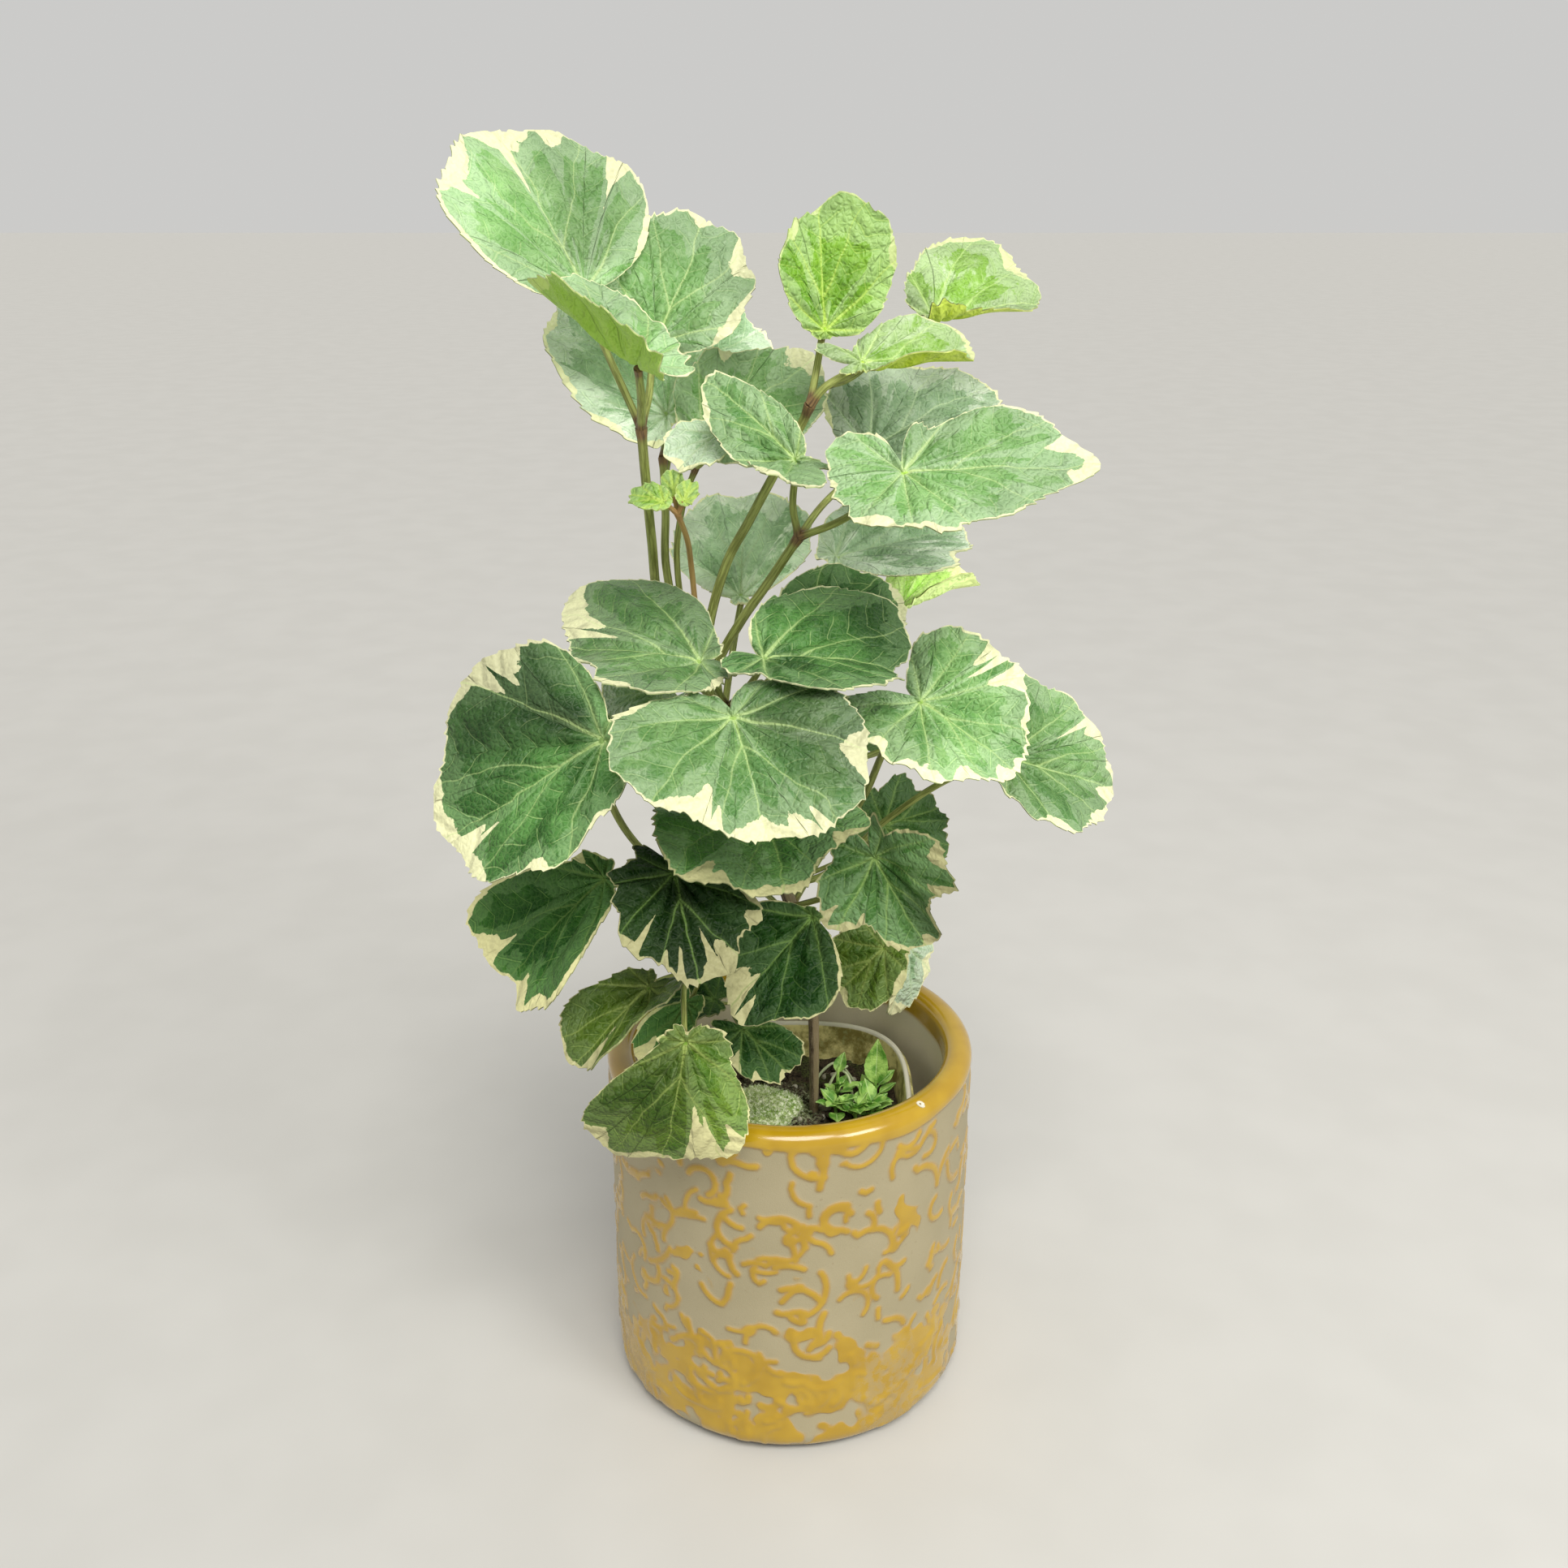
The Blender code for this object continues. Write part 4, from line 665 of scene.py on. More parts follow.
def leaf_finish(name, dark, light, bloom, vein, under, cream, mottle, side_veins, shine):
    """A leaf blade: blistered green with pale veins, a jagged grey-green zone, and a cream margin."""
    g = Graph(name, Specular_IOR_Level=shine)
    flat, polar = g.vector("flat"), g.vector("polar")
    sector, tone_and_painted_light = g.number("sector"), g.number("tone_and_painted_light")
    rim, field, depth = g.number("rim"), g.number("cream"), g.number("depth")
    branch, spacing, below = g.number("branch"), g.number("spacing"), g.number("below")

    main, across, taper = vein_lines(g, flat)
    halo = g.ramp(across, .3, 1.8, 1, 0)
    phase = branch / spacing + g.noise(flat, .1, 1) * .7 - .35
    away = g.math("PINGPONG", phase, .5) * spacing
    from_edge = g.ramp(sector, .72, .95, 1, 0)
    side = g.ramp(away, .04, .3, 1, 0) * from_edge
    crease = g.ramp(abs(away - .45), .05, .35, 1, 0) * from_edge
    net = g.cells(flat, .55)

    shade = g.mix(g.ramp(g.noise(flat, .07, 3, .6), .36, .64), dark, light)
    fine = g.noise(flat, .8, 4, .65)
    patchy = g.ramp(g.noise(flat, .05, 2), .42, .6)
    flecks = g.ramp(g.noise(polar, .42, 5, .62), .5, .64) * patchy
    shade = g.mix(flecks * mottle, shade, bloom)
    shade = g.mix(g.ramp(fine, .4, .72) * .16, shade, bloom)
    shade = g.mix(g.ramp(g.noise(flat, .5, 4, .6), .46, .6, 0, .3), shade, dark)
    jagged = g.noise(polar, .17, 4, .6) * 26 - 13
    zone = depth + 3 - rim * .6 + jagged
    shade = g.mix(g.ramp(zone, -.4, .4, 0, .5), shade, bloom)
    shade = g.mix(g.ramp(net, 0, .07, 1, 0) * .1, shade, vein)
    # Painted shade: a thin dark line alongside each side vein, on the shaded side of its groove
    shade = g.mix(crease * .35, shade, dark)
    shade = g.mix(side * side_veins, shade, vein)

    # Painted light and shade: broad random zones lighter and darker, for lobes tilted towards and away from
    # the light, times each leaf's tone and painted light
    broad = g.ramp(g.noise(flat, .028, 2), .35, .65, .84, 1.14)
    shade = g.dimmed(shade, tone_and_painted_light * broad)

    ragged = (g.noise(flat, .24, 4, .55) * 1.9 + g.noise(polar, .3, 3, .55) * .6) * 1.5 - 1.9
    edge = ragged * (g.math("MINIMUM", depth, 7) * .42 + .4) + field
    pale = g.mix(g.ramp(fine, .3, .7), cream, tuple(c * .86 for c in cream))
    # The cream and the underside take half of each leaf's tone and painted light
    dimmer = tone_and_painted_light * .5 + .5
    pale = g.dimmed(pale, dimmer)
    creamy_here = g.ramp(edge, -.2, .2)
    shade = g.mix(creamy_here, shade, pale)
    shade = g.mix(g.ramp(rim, .1, .35, .45, 0), shade, pale)
    shade = g.mix(halo * taper * .3, shade, vein)
    shade = g.mix(main * (taper * .45 + .4), shade, vein)
    # The underside: partly its own lime green and partly painted light shining through the thin blade
    shade = g.mix(below * .7, shade, g.dimmed(under, dimmer))

    blister = g.ramp(away, 0, 3) * g.ramp(across, 0, 2.2)
    texture = g.ramp(net, 0, .4) * .3 + fine * .2 - .25
    smoother = 1 - creamy_here * .65
    height = texture * smoother + blister * .55 + g.noise(flat, .17, 2) * .8
    facing_up = 1 - below * 2
    g.bump(height * facing_up, .001)
    rough = g.ramp(g.noise(flat, .4, 3), .3, .7, .36, .52)
    return g.use(Base_Color=shade, Roughness=below * .16 + rough)


def vein_lines(g, flat):
    """How much a place is on a main vein, its mm from one, and 1 at the petiole fading outwards."""
    x, y, size = g.parts(g.vector("spot"))
    out = g.math("SQRT", x * x + y * y)
    taper = g.math("POWER", 2.718, out / -13)
    wander = (g.noise(flat, .06, 2) - .5) * (out * .22)
    aside = abs(y + wander)
    lean = g.noise(flat, .02, 1) * .5 - .25
    main, across = 0.0, 99.0
    for start, degrees, bend, weight in VEINS:
        turn = math.radians(degrees)
        ahead = size * -start + x
        if degrees:
            u = ahead * math.cos(turn) + aside * math.sin(turn)
            v = aside * math.cos(turn) - ahead * math.sin(turn)
            curve = u / size * bend + lean
            v = abs(u * curve + v)
        else:
            u, v = ahead, aside
        away = v + g.math("MAXIMUM", u * -1, 0) * 4
        width = taper * (.5 * weight) + .12 * weight
        line = g.ramp(away - width, -.04, .22, .35 + .65 * weight, 0)
        main, across = g.math("MAXIMUM", main, line), g.math("MINIMUM", across, away)
    return main, across, taper


def margin_lines(leaf):
    """Angles of lines from the petiole to even steps along the margin, with one on each main vein."""
    notch = leaf.get("notch_at", 6) * HOUR
    turn = np.linspace(-np.pi, np.pi, MARGIN_SAMPLES) + notch - np.pi
    out = reach(leaf, turn) * leaf["length"] * MM
    x, y = out * np.cos(turn), out * np.sin(turn)
    along = np.concatenate([[0], np.cumsum(np.hypot(np.diff(x), np.diff(y)))])
    count = 2 * int(along[-1] / MARGIN_STEP / 2)
    steps = np.arange(count) * along[-1] / count
    lines = np.interp(steps, along, turn)
    veins = np.radians([d for k in VALLEYS for d in ((k, -k) if k else (k,))])
    for vein in veins:
        off = wrapped(lines[::2] - vein)
        nearest = np.argmin(np.abs(off))
        lines[2 * nearest] -= off[nearest]
    return lines, steps, veins


def teeth(leaf, lines, steps, seed):
    """How far the margin stands out at each line, as a share of its distance from the petiole."""
    draw = np.random.default_rng(seed + TEETH)
    total = steps[-1]
    places = np.cumsum(draw.uniform(*TOOTH_WIDTHS, int(total / TOOTH_SPACING) + 1))
    places = places / places[-1] * total
    starts = np.concatenate([[0], places[:-1]])
    which = np.clip(np.searchsorted(places, steps), 0, len(places) - 1)
    share = (steps - starts[which]) / (places[which] - starts[which])
    off = wrapped(lines)
    share = np.where(off < 0, share, 1 - share)
    bump = np.where(share > TOOTH_PEAK, (1 - share) / (1 - TOOTH_PEAK), (share / TOOTH_PEAK) ** 2)
    tall = (1.5 * draw.uniform(0, 1, len(places)) ** 1.2)[which]
    distance = reach(leaf, lines) * leaf["length"] * MM
    out = TOOTH_HEIGHT * (bump - .45) * tall * smooth(distance / TOOTH_FULL) / distance
    return out + SCALLOP * ripple(off, seed + SCALLOPS, 7, 17) * (1 + 2 * leaf.get("lobes", 0))


def leaf_sheet(leaf, seed):
    """The blade's middle surface: points in rings from the petiole, and each point's place in the leaf."""
    lines, steps, veins = margin_lines(leaf)
    tooth = teeth(leaf, lines, steps, seed)
    half = len(lines) // 2
    share = np.concatenate([np.repeat(INNER_SHARES, half), np.repeat(OUTER_SHARES, len(lines))])
    line = np.concatenate([np.tile(lines[::2], len(INNER_SHARES)), np.tile(lines, len(OUTER_SHARES))])
    out_there = np.concatenate([np.tile(tooth[::2], len(INNER_SHARES)), np.tile(tooth, len(OUTER_SHARES))])
    off = wrapped(line)
    angle = off - VEIN_BEND * np.sin(off) * (1 - share)
    size = leaf["length"]
    out_there = out_there * share ** 10
    points = blade_points(leaf, angle, share, seed, out_there)
    points = np.vstack([blade_points(leaf, np.zeros(1), np.zeros(1), seed), points])

    out = share * reach(leaf, angle) * (1 + out_there) * size
    flat = np.column_stack([out * np.cos(angle), out * np.sin(angle)])
    apart = wrapped(off[:, None] - veins)
    nearest = np.abs(apart).argmin(axis=1)
    from_vein = np.abs(apart).min(axis=1)
    ranks = np.sort(np.abs(apart), axis=1)
    sector = ranks[:, 0] / np.maximum((ranks[:, 0] + ranks[:, 1]) / 2, 1e-6)
    margin = flat[-len(lines):]
    rim = np.array([np.hypot(margin[:, 0] - x, margin[:, 1] - y).min() for x, y in flat])
    rim[-len(lines):] = 0
    u, v = out * np.cos(from_vein), out * np.sin(from_vein)
    on_left = np.take_along_axis(apart, nearest[:, None], 1)[:, 0] > 0
    starts = np.random.default_rng(seed + SIDE_VEINS).uniform(0, 1, (len(veins), 2))
    start = starts[nearest, on_left.astype(int)]
    spacing = max(SIDE_SPACING[0], size * SIDE_SPACING[1])
    depth = cream_depth(leaf, off, seed)
    inward = (1 / share - 1) * out
    # Painted light and shade on the lobes listed for this leaf
    light = np.ones(len(off))
    for hour, width, factor in leaf["light"]:
        aside = np.abs(wrapped(off - hour * HOUR)) / (width * HOUR)
        light *= 1 + (factor - 1) * smooth(1.3 - aside) * smooth(share * 4)
    rise = PILLOW * np.sin(np.minimum(sector, 1) * np.pi / 2) ** 1.5 * np.sin(np.pi * share ** .8)
    rise *= min(1, size / FULL_PILLOW)
    rise += FLUTTER * ripple(off, seed + WAVELETS, 12, 22) * share ** 3
    values = {
        "sector": np.concatenate([[0], sector]),
        "branch": np.concatenate([[0], u - .6 * v - .008 * v ** 2 + start * spacing]),
        "spacing": np.full(len(points), spacing),
        "rim": np.concatenate([[rim[:half].min()], rim]),
        "depth": np.concatenate([[0], depth]),
        "cream": np.concatenate([[-20], np.clip(depth - np.maximum(rim, .75 * inward), -20, 8)]),
        "tone_and_painted_light": np.concatenate([[leaf["tone_and_painted_light"]], leaf["tone_and_painted_light"] * light]),
    }
    away = seed * APART
    level = np.zeros(len(off))
    polar = np.column_stack([off * size * .45, out * .3, level])
    vectors = {
        "flat": np.vstack([[0, 0, 0], np.column_stack([flat, level])]) + away,
        "polar": np.vstack([[0, 0, 0], polar]) + away,
        "spot": np.vstack([[0, 0, size], np.column_stack([flat, level + size])]),
    }
    return points, len(lines), np.concatenate([[0], rise]), values, vectors


def sheet_faces(columns):
    """Faces of the sheet: a fan, the inner rings, a step to twice the lines, and the outer rings."""
    half = columns // 2
    faces = [(0, 1 + k, 1 + (k + 1) % half) for k in range(half)]
    faces += grid_faces(len(INNER_SHARES), half, 1)
    last = 1 + half * (len(INNER_SHARES) - 1)
    first = 1 + half * len(INNER_SHARES)
    for k in range(half):
        a, b = last + k, last + (k + 1) % half
        p, q, r = (first + (2 * k + step) % columns for step in range(3))
        faces += [(a, b, q), (a, q, p), (b, r, q)]
    faces += grid_faces(len(OUTER_SHARES), columns, first)
    return faces


def cream_depth(leaf, off, seed):
    """How deep the cream goes in from the margin at each line, in mm, before the ragged edge."""
    margin, patches = leaf["cream"]
    depth = .38 * margin * (1 + 1.3 * ripple(off, seed + CREAM, 4, 14))
    for hour, width, deep in patches:
        aside = wrapped(off - hour * HOUR) / (width * HOUR)
        depth = np.maximum(depth, deep * (1 - aside ** 2))
    return depth


def grid_faces(rows, columns, start=0):
    """Faces of a grid of points whose rows close on themselves."""
    row, column = np.meshgrid(np.arange(rows - 1), np.arange(columns), indexing="ij")
    a = start + row * columns + column
    b = start + row * columns + (column + 1) % columns
    return np.stack([a, b, b + columns, a + columns], axis=-1).reshape(-1, 4).tolist()


def caps(columns, count):
    """The two end faces of a closed grid of so many points."""
    return [list(range(columns))[::-1], list(range(count - columns, count))]


def surface_normals(points, faces):
    """A unit normal at each point."""
    normals = np.zeros_like(points)
    for size in {len(face) for face in faces}:
        some = np.array([face for face in faces if len(face) == size])
        across = np.cross(points[some[:, 2]] - points[some[:, 0]],
                          points[some[:, size - 1]] - points[some[:, 1]] if size == 4
                          else points[some[:, 1]] - points[some[:, 0]])
        if size == 3:
            across = -across
        for corner in range(size):
            np.add.at(normals, some[:, corner], across)
    return normals / np.maximum(np.linalg.norm(normals, axis=1), 1e-12)[:, None]


def leaf_piece(name, leaf, seed, finish):
    """A thin closed blade, with what its finish needs stored at its points."""
    points, columns, rise, values, vectors = leaf_sheet(leaf, seed)
    faces = sheet_faces(columns)
    normals = surface_normals(points, faces)
    _, _, _, up, _ = leaf_frame(leaf)
    if np.dot(normals.mean(axis=0), up) < 0:
        normals = -normals
        faces = [face[::-1] for face in faces]
    points = points + normals * rise[:, None]
    normals = surface_normals(points, faces)
    count = len(points)
    both = np.vstack([points + normals * SHEET / 2, points - normals * SHEET / 2])
    both = np.clip(both, *cad_box)
    shell = faces + [[n + count for n in face[::-1]] for face in faces]
    first = count - columns
    for k in range(columns):
        a, b = first + k, first + (k + 1) % columns
        shell.append((a, a + count, b + count, b))
    values = {key: np.tile(numbers, 2) for key, numbers in values.items()}
    values["below"] = np.repeat([0, 1], count)
    vectors = {key: np.vstack([rows, rows]) for key, rows in vectors.items()}
    return piece(name, both, shell, finish, values, vectors)


def leaf_finishes():
    """The blade's greens, pale at the top to dark round the pot: own tones with painted sunlight above and
    painted shade below.
    """
    vein, creamy, dim = (.52, .68, .27), (.87, .87, .52), (.55, .53, .27)
    looks = {
        "pale": ((.16, .37, .09), (.28, .5, .18), (.46, .62, .38), (.56, .7, .3), (.38, .66, .03), creamy,
                 .5, .28, .4),
        # A grey-green, lightened and greyed as painted sheen and light for leaves that catch the sky
        "sage": ((.17, .3, .14), (.32, .46, .28), (.62, .7, .56), (.52, .66, .38), (.36, .5, .16), creamy,
                 1, .3, .4),
        "upper": ((.09, .24, .055), (.19, .36, .115), (.36, .51, .28), vein, (.3, .5, .08), creamy,
                  .5, .28, .35),
        "middle": ((.028, .11, .016), (.085, .235, .05), (.21, .37, .15), vein, (.14, .28, .05), creamy,
                   .3, .36, .25),
        "lower": ((.006, .036, .004), (.018, .07, .008), (.07, .14, .045), (.17, .28, .07), (.11, .19, .04),
                  dim, .12, .25, .12),
        "dusky": ((.04, .13, .022), (.09, .21, .05), (.2, .33, .15), (.3, .45, .13), (.14, .24, .06), dim,
                  .3, .3, .2),
        "olive": ((.035, .085, .006), (.08, .14, .012), (.15, .22, .07), (.3, .38, .1), (.18, .34, .035),
                  dim, .2, .3, .18),
        "young": ((.13, .33, .014), (.22, .46, .03), (.5, .7, .3), (.56, .74, .14), (.36, .64, .008),
                  (.62, .74, .3), .2, .3, .4),
        "fresh": ((.24, .5, .04), (.4, .66, .16), (.66, .82, .5), (.62, .8, .3), (.78, .98, .03),
                  (.78, .84, .42), .8, .25, .5),
        "lemon": ((.3, .54, .08), (.55, .7, .25), (.8, .86, .5), (.7, .82, .4), (.6, .78, .28),
                  (.86, .86, .4), .8, .25, .5),
    }
    return {tone: leaf_finish("leaf_" + tone, *look) for tone, look in looks.items()}


def make_leaves():
    finishes = leaf_finishes()
    for seed, (name, leaf) in enumerate(LEAVES.items(), 1):
        tone, tone_and_painted_light, margin, patches = LOOKS.get(name, ("middle", 1, .9, ((1.5, .4, 4), (9, .3, 5))))
        leaf = dict(leaf, cream=(margin, patches), tone_and_painted_light=tone_and_painted_light, light=LOBE_PAINTED_LIGHT_AND_SHADE.get(name, ()))
        made = leaf_piece("blade_" + name, leaf, seed, finishes[tone])
        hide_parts("leaf_" + name)
        "young_leaf" if tone in ("young", "fresh", "lemon") else "leaf"
    for seed, (name, leaf) in enumerate(SPROUT.items(), FIRST_SPROUT):
        leaf = dict(leaf, cream=(.4, ()), tone_and_painted_light=1, light=())
        made = leaf_piece("blade_" + name, leaf, seed, finishes["young"])
        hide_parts("stem")


def tube_mesh(line, radii, sides):
    """Points, faces, the distance along, the turn and the way round of a closed round tube."""
    line = np.asarray(line, float)
    ways = np.gradient(line, axis=0)
    ways /= np.linalg.norm(ways, axis=1)[:, None]
    side = np.cross(ways[0], (0.31, 0.95, 0.05))
    turn = turns(sides)
    rows = []
    for spot, way, radius in zip(line, ways, radii):
        side = side - way * np.dot(side, way)
        side /= np.linalg.norm(side)
        other = np.cross(way, side)
        rows.append(spot + radius * (np.outer(np.cos(turn), side) + np.outer(np.sin(turn), other)))
    points = np.vstack(rows)
    faces = grid_faces(len(line), sides) + caps(sides, len(points))
    return points, faces, np.repeat(travelled(line) / MM, sides), np.tile(turn, len(line))


def stalk_radii(line, radius, end_swell):
    """A petiole's radius along its line: a little thicker where it starts, with swollen ends."""
    along = travelled(line)
    at_start, at_end = (np.exp(-(distance / JOINT_REACH) ** 2) for distance in (along, along[-1] - along))
    taper = STALK_TAPER * (1 - along / along[-1])
    return radius * (1 + taper + JOINT_SWELL * at_start + end_swell * at_end)


def make_stalks():
    """The stem and its petioles, as in the solids but round."""
    line = curve_through([np.array([*STEM_FOOT, SOIL_Z - STEM_DEPTH]), np.array([*STEM_FOOT, SOIL_Z])]
                         + [seen_at(a, d, y * MM) for a, d, y in STEM], STEM_STEPS)
    coarse = {"stem": line[::SOLID_STEPS[0]]}
    last = len(STEM_RADII) - 1
    radii = np.interp(np.linspace(0, last, len(line)), range(last + 1), STEM_RADII) * MM
    rings = np.exp(-(((travelled(line) / MM + 3) % NODE_SPACING - 4.7) / NODE_WIDTH) ** 2)
    tubes = [(line, radii * (1 + NODE_SWELL * rings), STEM_SIDES, 1.0)]
    names = ["stem", *PETIOLES]
    for name, petiole in PETIOLES.items():
        places = [np.array(spot) * MM if petiole["in_mm"] else seen_at(*spot[:2], spot[2] * MM)
                  for spot in petiole["spots"]]
        carrier = coarse[petiole["on"]]
        places[0] = carrier[np.argmin(np.linalg.norm(carrier - places[0], axis=1))]
        radius = petiole["radius"] * MM
        if name in LEAVES:
            places.append(seat(LEAVES[name], places[-1], radius))
        coarse[name] = curve_through(places, SOLID_STEPS[1])
        fine = curve_through(places, STALK_STEPS)
        end_swell = BLADE_SWELL if name in LEAVES else JOINT_SWELL
        tubes.append((fine, stalk_radii(fine, radius, end_swell), STALK_SIDES, 0.0))
    parts = []
    for number, (fine, radii, sides, wood) in enumerate(tubes):
        points, faces, along, turn = tube_mesh(fine, radii, sides)
        at_start, at_end = np.exp(-(along / 3.5) ** 2), np.exp(-((along.max() - along) / 3) ** 2)
        joint = np.maximum(at_start, at_end) * (1 - wood)
        same = np.full((len(points), 2), (wood, float(names[number].startswith("sprout"))))
        streak = (np.cos(turn), np.sin(turn), along * .045 + number * 7)
        parts.append((points, faces, np.column_stack([*streak, joint, same])))
    points, faces, numbers = joined(parts)
    made = piece("stalks", points, faces, stalk_finish(),
                 {"woody": numbers[:, 4], "joint": numbers[:, 3], "ruddy": numbers[:, 5]},
                 {"streak": numbers[:, :3]}, sharp=60)
    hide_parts("stem")


def stalk_finish():
    """Olive petioles with lengthwise streaks and brown joints, and a grey-brown ringed stem."""
    g = Graph("stalks", Specular_IOR_Level=.35)
    streak, woody, joint = g.vector("streak"), g.number("woody"), g.number("joint")
    spot = g.place()
    lines = g.noise(streak, 2.6, 4, .6)
    green = g.mix(g.ramp(lines, .35, .65), (.17, .19, .04), (.38, .43, .12))
    brown = g.mix(g.ramp(lines, .35, .65), (.1, .06, .03), (.27, .17, .07))
    share = g.ramp(joint + g.noise(spot, .06, 2) * 1.2 - .55, .15, .75)
    shade = g.mix(share, green, brown)
    shade = g.mix(g.number("ruddy") * .8, shade, g.mix(lines, (.3, .14, .04), (.62, .4, .16)))
    bark = g.mix(g.ramp(g.noise(streak, 5, 5, .65), .35, .65), (.05, .032, .02), (.24, .19, .12))
    specks = g.ramp(g.noise(spot, 2.2, 2), .62, .68)
    bark = g.mix(specks * .6, bark, (.4, .36, .26))
    lit_side = g.ramp(g.noise(streak, 3, 3) * .9 - g.parts(streak)[0], .35, .8)
    bark = g.mix(lit_side * .65, bark, (.38, .3, .17))
    shade = g.mix(woody, shade, bark)
    g.bump(g.noise(streak, 6, 4, .6) + specks * .4, .0003, .7)
    return g.use(Base_Color=shade, Roughness=g.ramp(lines, .3, .7, .42, .62))


def turned_points(profile, columns):
    """Rings of points round the axis, from (radius, height) pairs."""
    turn = turns(columns)
    rows = [np.column_stack([r * np.cos(turn), r * np.sin(turn), np.full(columns, z)]) for r, z in profile]
    return np.vstack(rows)


def ahead_of(heading):
    """One step in the flat at an angle."""
    return np.array([math.cos(heading), math.sin(heading)])


def worm(draw, spot, heading, length):
    """A curved stroke of even steps from a spot, which may turn the other way or bend sharply once."""
    points = [spot]
    bend = draw.choice([-1, 1]) * draw.uniform(*STROKE_BENDS)
    count = max(2, round(length / STROKE_STEP))
    turn_at, kink_at = draw.integers(0, count, 2)
    swerve, kink = draw.uniform() < SWERVE_ODDS, draw.uniform() < KINK_ODDS
    for step in range(count):
        if step == turn_at and swerve:
            bend = -bend
        if step == kink_at and kink:
            heading += draw.choice([-1, 1]) * draw.uniform(*STROKE_KINKS)
        heading += bend + draw.uniform(-.12, .12)
        spot = spot + STROKE_STEP * ahead_of(heading)
        points.append(spot)
    return np.array(points)


def squiggles(draw, width, top, bottom):
    """Worm-like figures: strokes of (points, half width), in mm round and up the pot's wall."""
    strokes = []
    rows = round((top - bottom) / STROKE_CELL[1])
    columns = round(width / STROKE_CELL[0])
    for row in range(rows):
        left_out = GAP_ODDS[0] if .3 < (row + .5) / rows < .6 else GAP_ODDS[1]
        for column in range(columns):
            if draw.uniform() < left_out:
                continue
            jitter = draw.uniform(-.42, .42, 2)
            spot = np.array([(column + .5 * (row % 2) + jitter[0]) * width / columns,
                             bottom + (row + .5 + jitter[1]) * (top - bottom) / rows])
            half = draw.uniform(*STROKE_HALF)
            length = draw.choice(STROKE_LENGTHS, p=STROKE_ODDS)
            heading = draw.uniform(0, 2 * np.pi)
            main = worm(draw, spot - length / 2 * ahead_of(heading), heading, length)
            strokes.append((main, half))
            if draw.uniform() < BRANCH_ODDS and length > 8:
                at = draw.integers(1, len(main) - 1)
                away = heading + draw.choice([-1, 1]) * draw.uniform(.8, 1.7)
                strokes.append((worm(draw, main[at], away, draw.uniform(5, 9)), half * .95))
                if draw.uniform() < BLOB_ODDS:
                    strokes.append((main[at] + draw.uniform(-.6, .6, (2, 2)), draw.uniform(1.7, 2.4)))
    return [(np.column_stack([p[:, 0], np.clip(p[:, 1], bottom, top + 2)]), half) for p, half in strokes]


def stroke_field(around, height, strokes, width):
    """How far a place is inside the nearest strokes, in mm, with close strokes flowing together."""
    total = np.zeros(around.shape)
    for points, half in strokes:
        middle = points.mean(axis=0)
        ax = (around - middle[0] + width / 2) % width - width / 2
        close = (np.abs(ax) < STROKE_AWAY) & (np.abs(height - middle[1]) < STROKE_AWAY)
        x, y = ax[close], height[close] - middle[1]
        best = np.full(x.shape, 1e3)
        for (px, py), (qx, qy) in zip(points[:-1] - middle, points[1:] - middle):
            dx, dy = qx - px, qy - py
            t = np.clip(((x - px) * dx + (y - py) * dy) / (dx * dx + dy * dy + 1e-9), 0, 1)
            best = np.minimum(best, np.hypot(x - px - t * dx, y - py - t * dy))
        total[close] += np.exp((half - best) / STROKE_BLEND)
    return STROKE_BLEND * np.log(total + 1e-9)


def soft_noise(draw, columns, rows, wide, around_mm, up_mm):
    """Smooth noise over the unrolled wall with features of one size, closed round the pot."""
    raw = draw.normal(size=(rows, columns))
    fx = np.fft.fftfreq(columns, around_mm / columns)
    fy = np.fft.fftfreq(rows, up_mm / rows)
    far = np.hypot(fx[None, :], fy[:, None]) * wide
    shaped = np.fft.ifft2(np.fft.fft2(raw) * np.exp(-((far - 1) / .45) ** 2)).real
    return shaped / shaped.std()


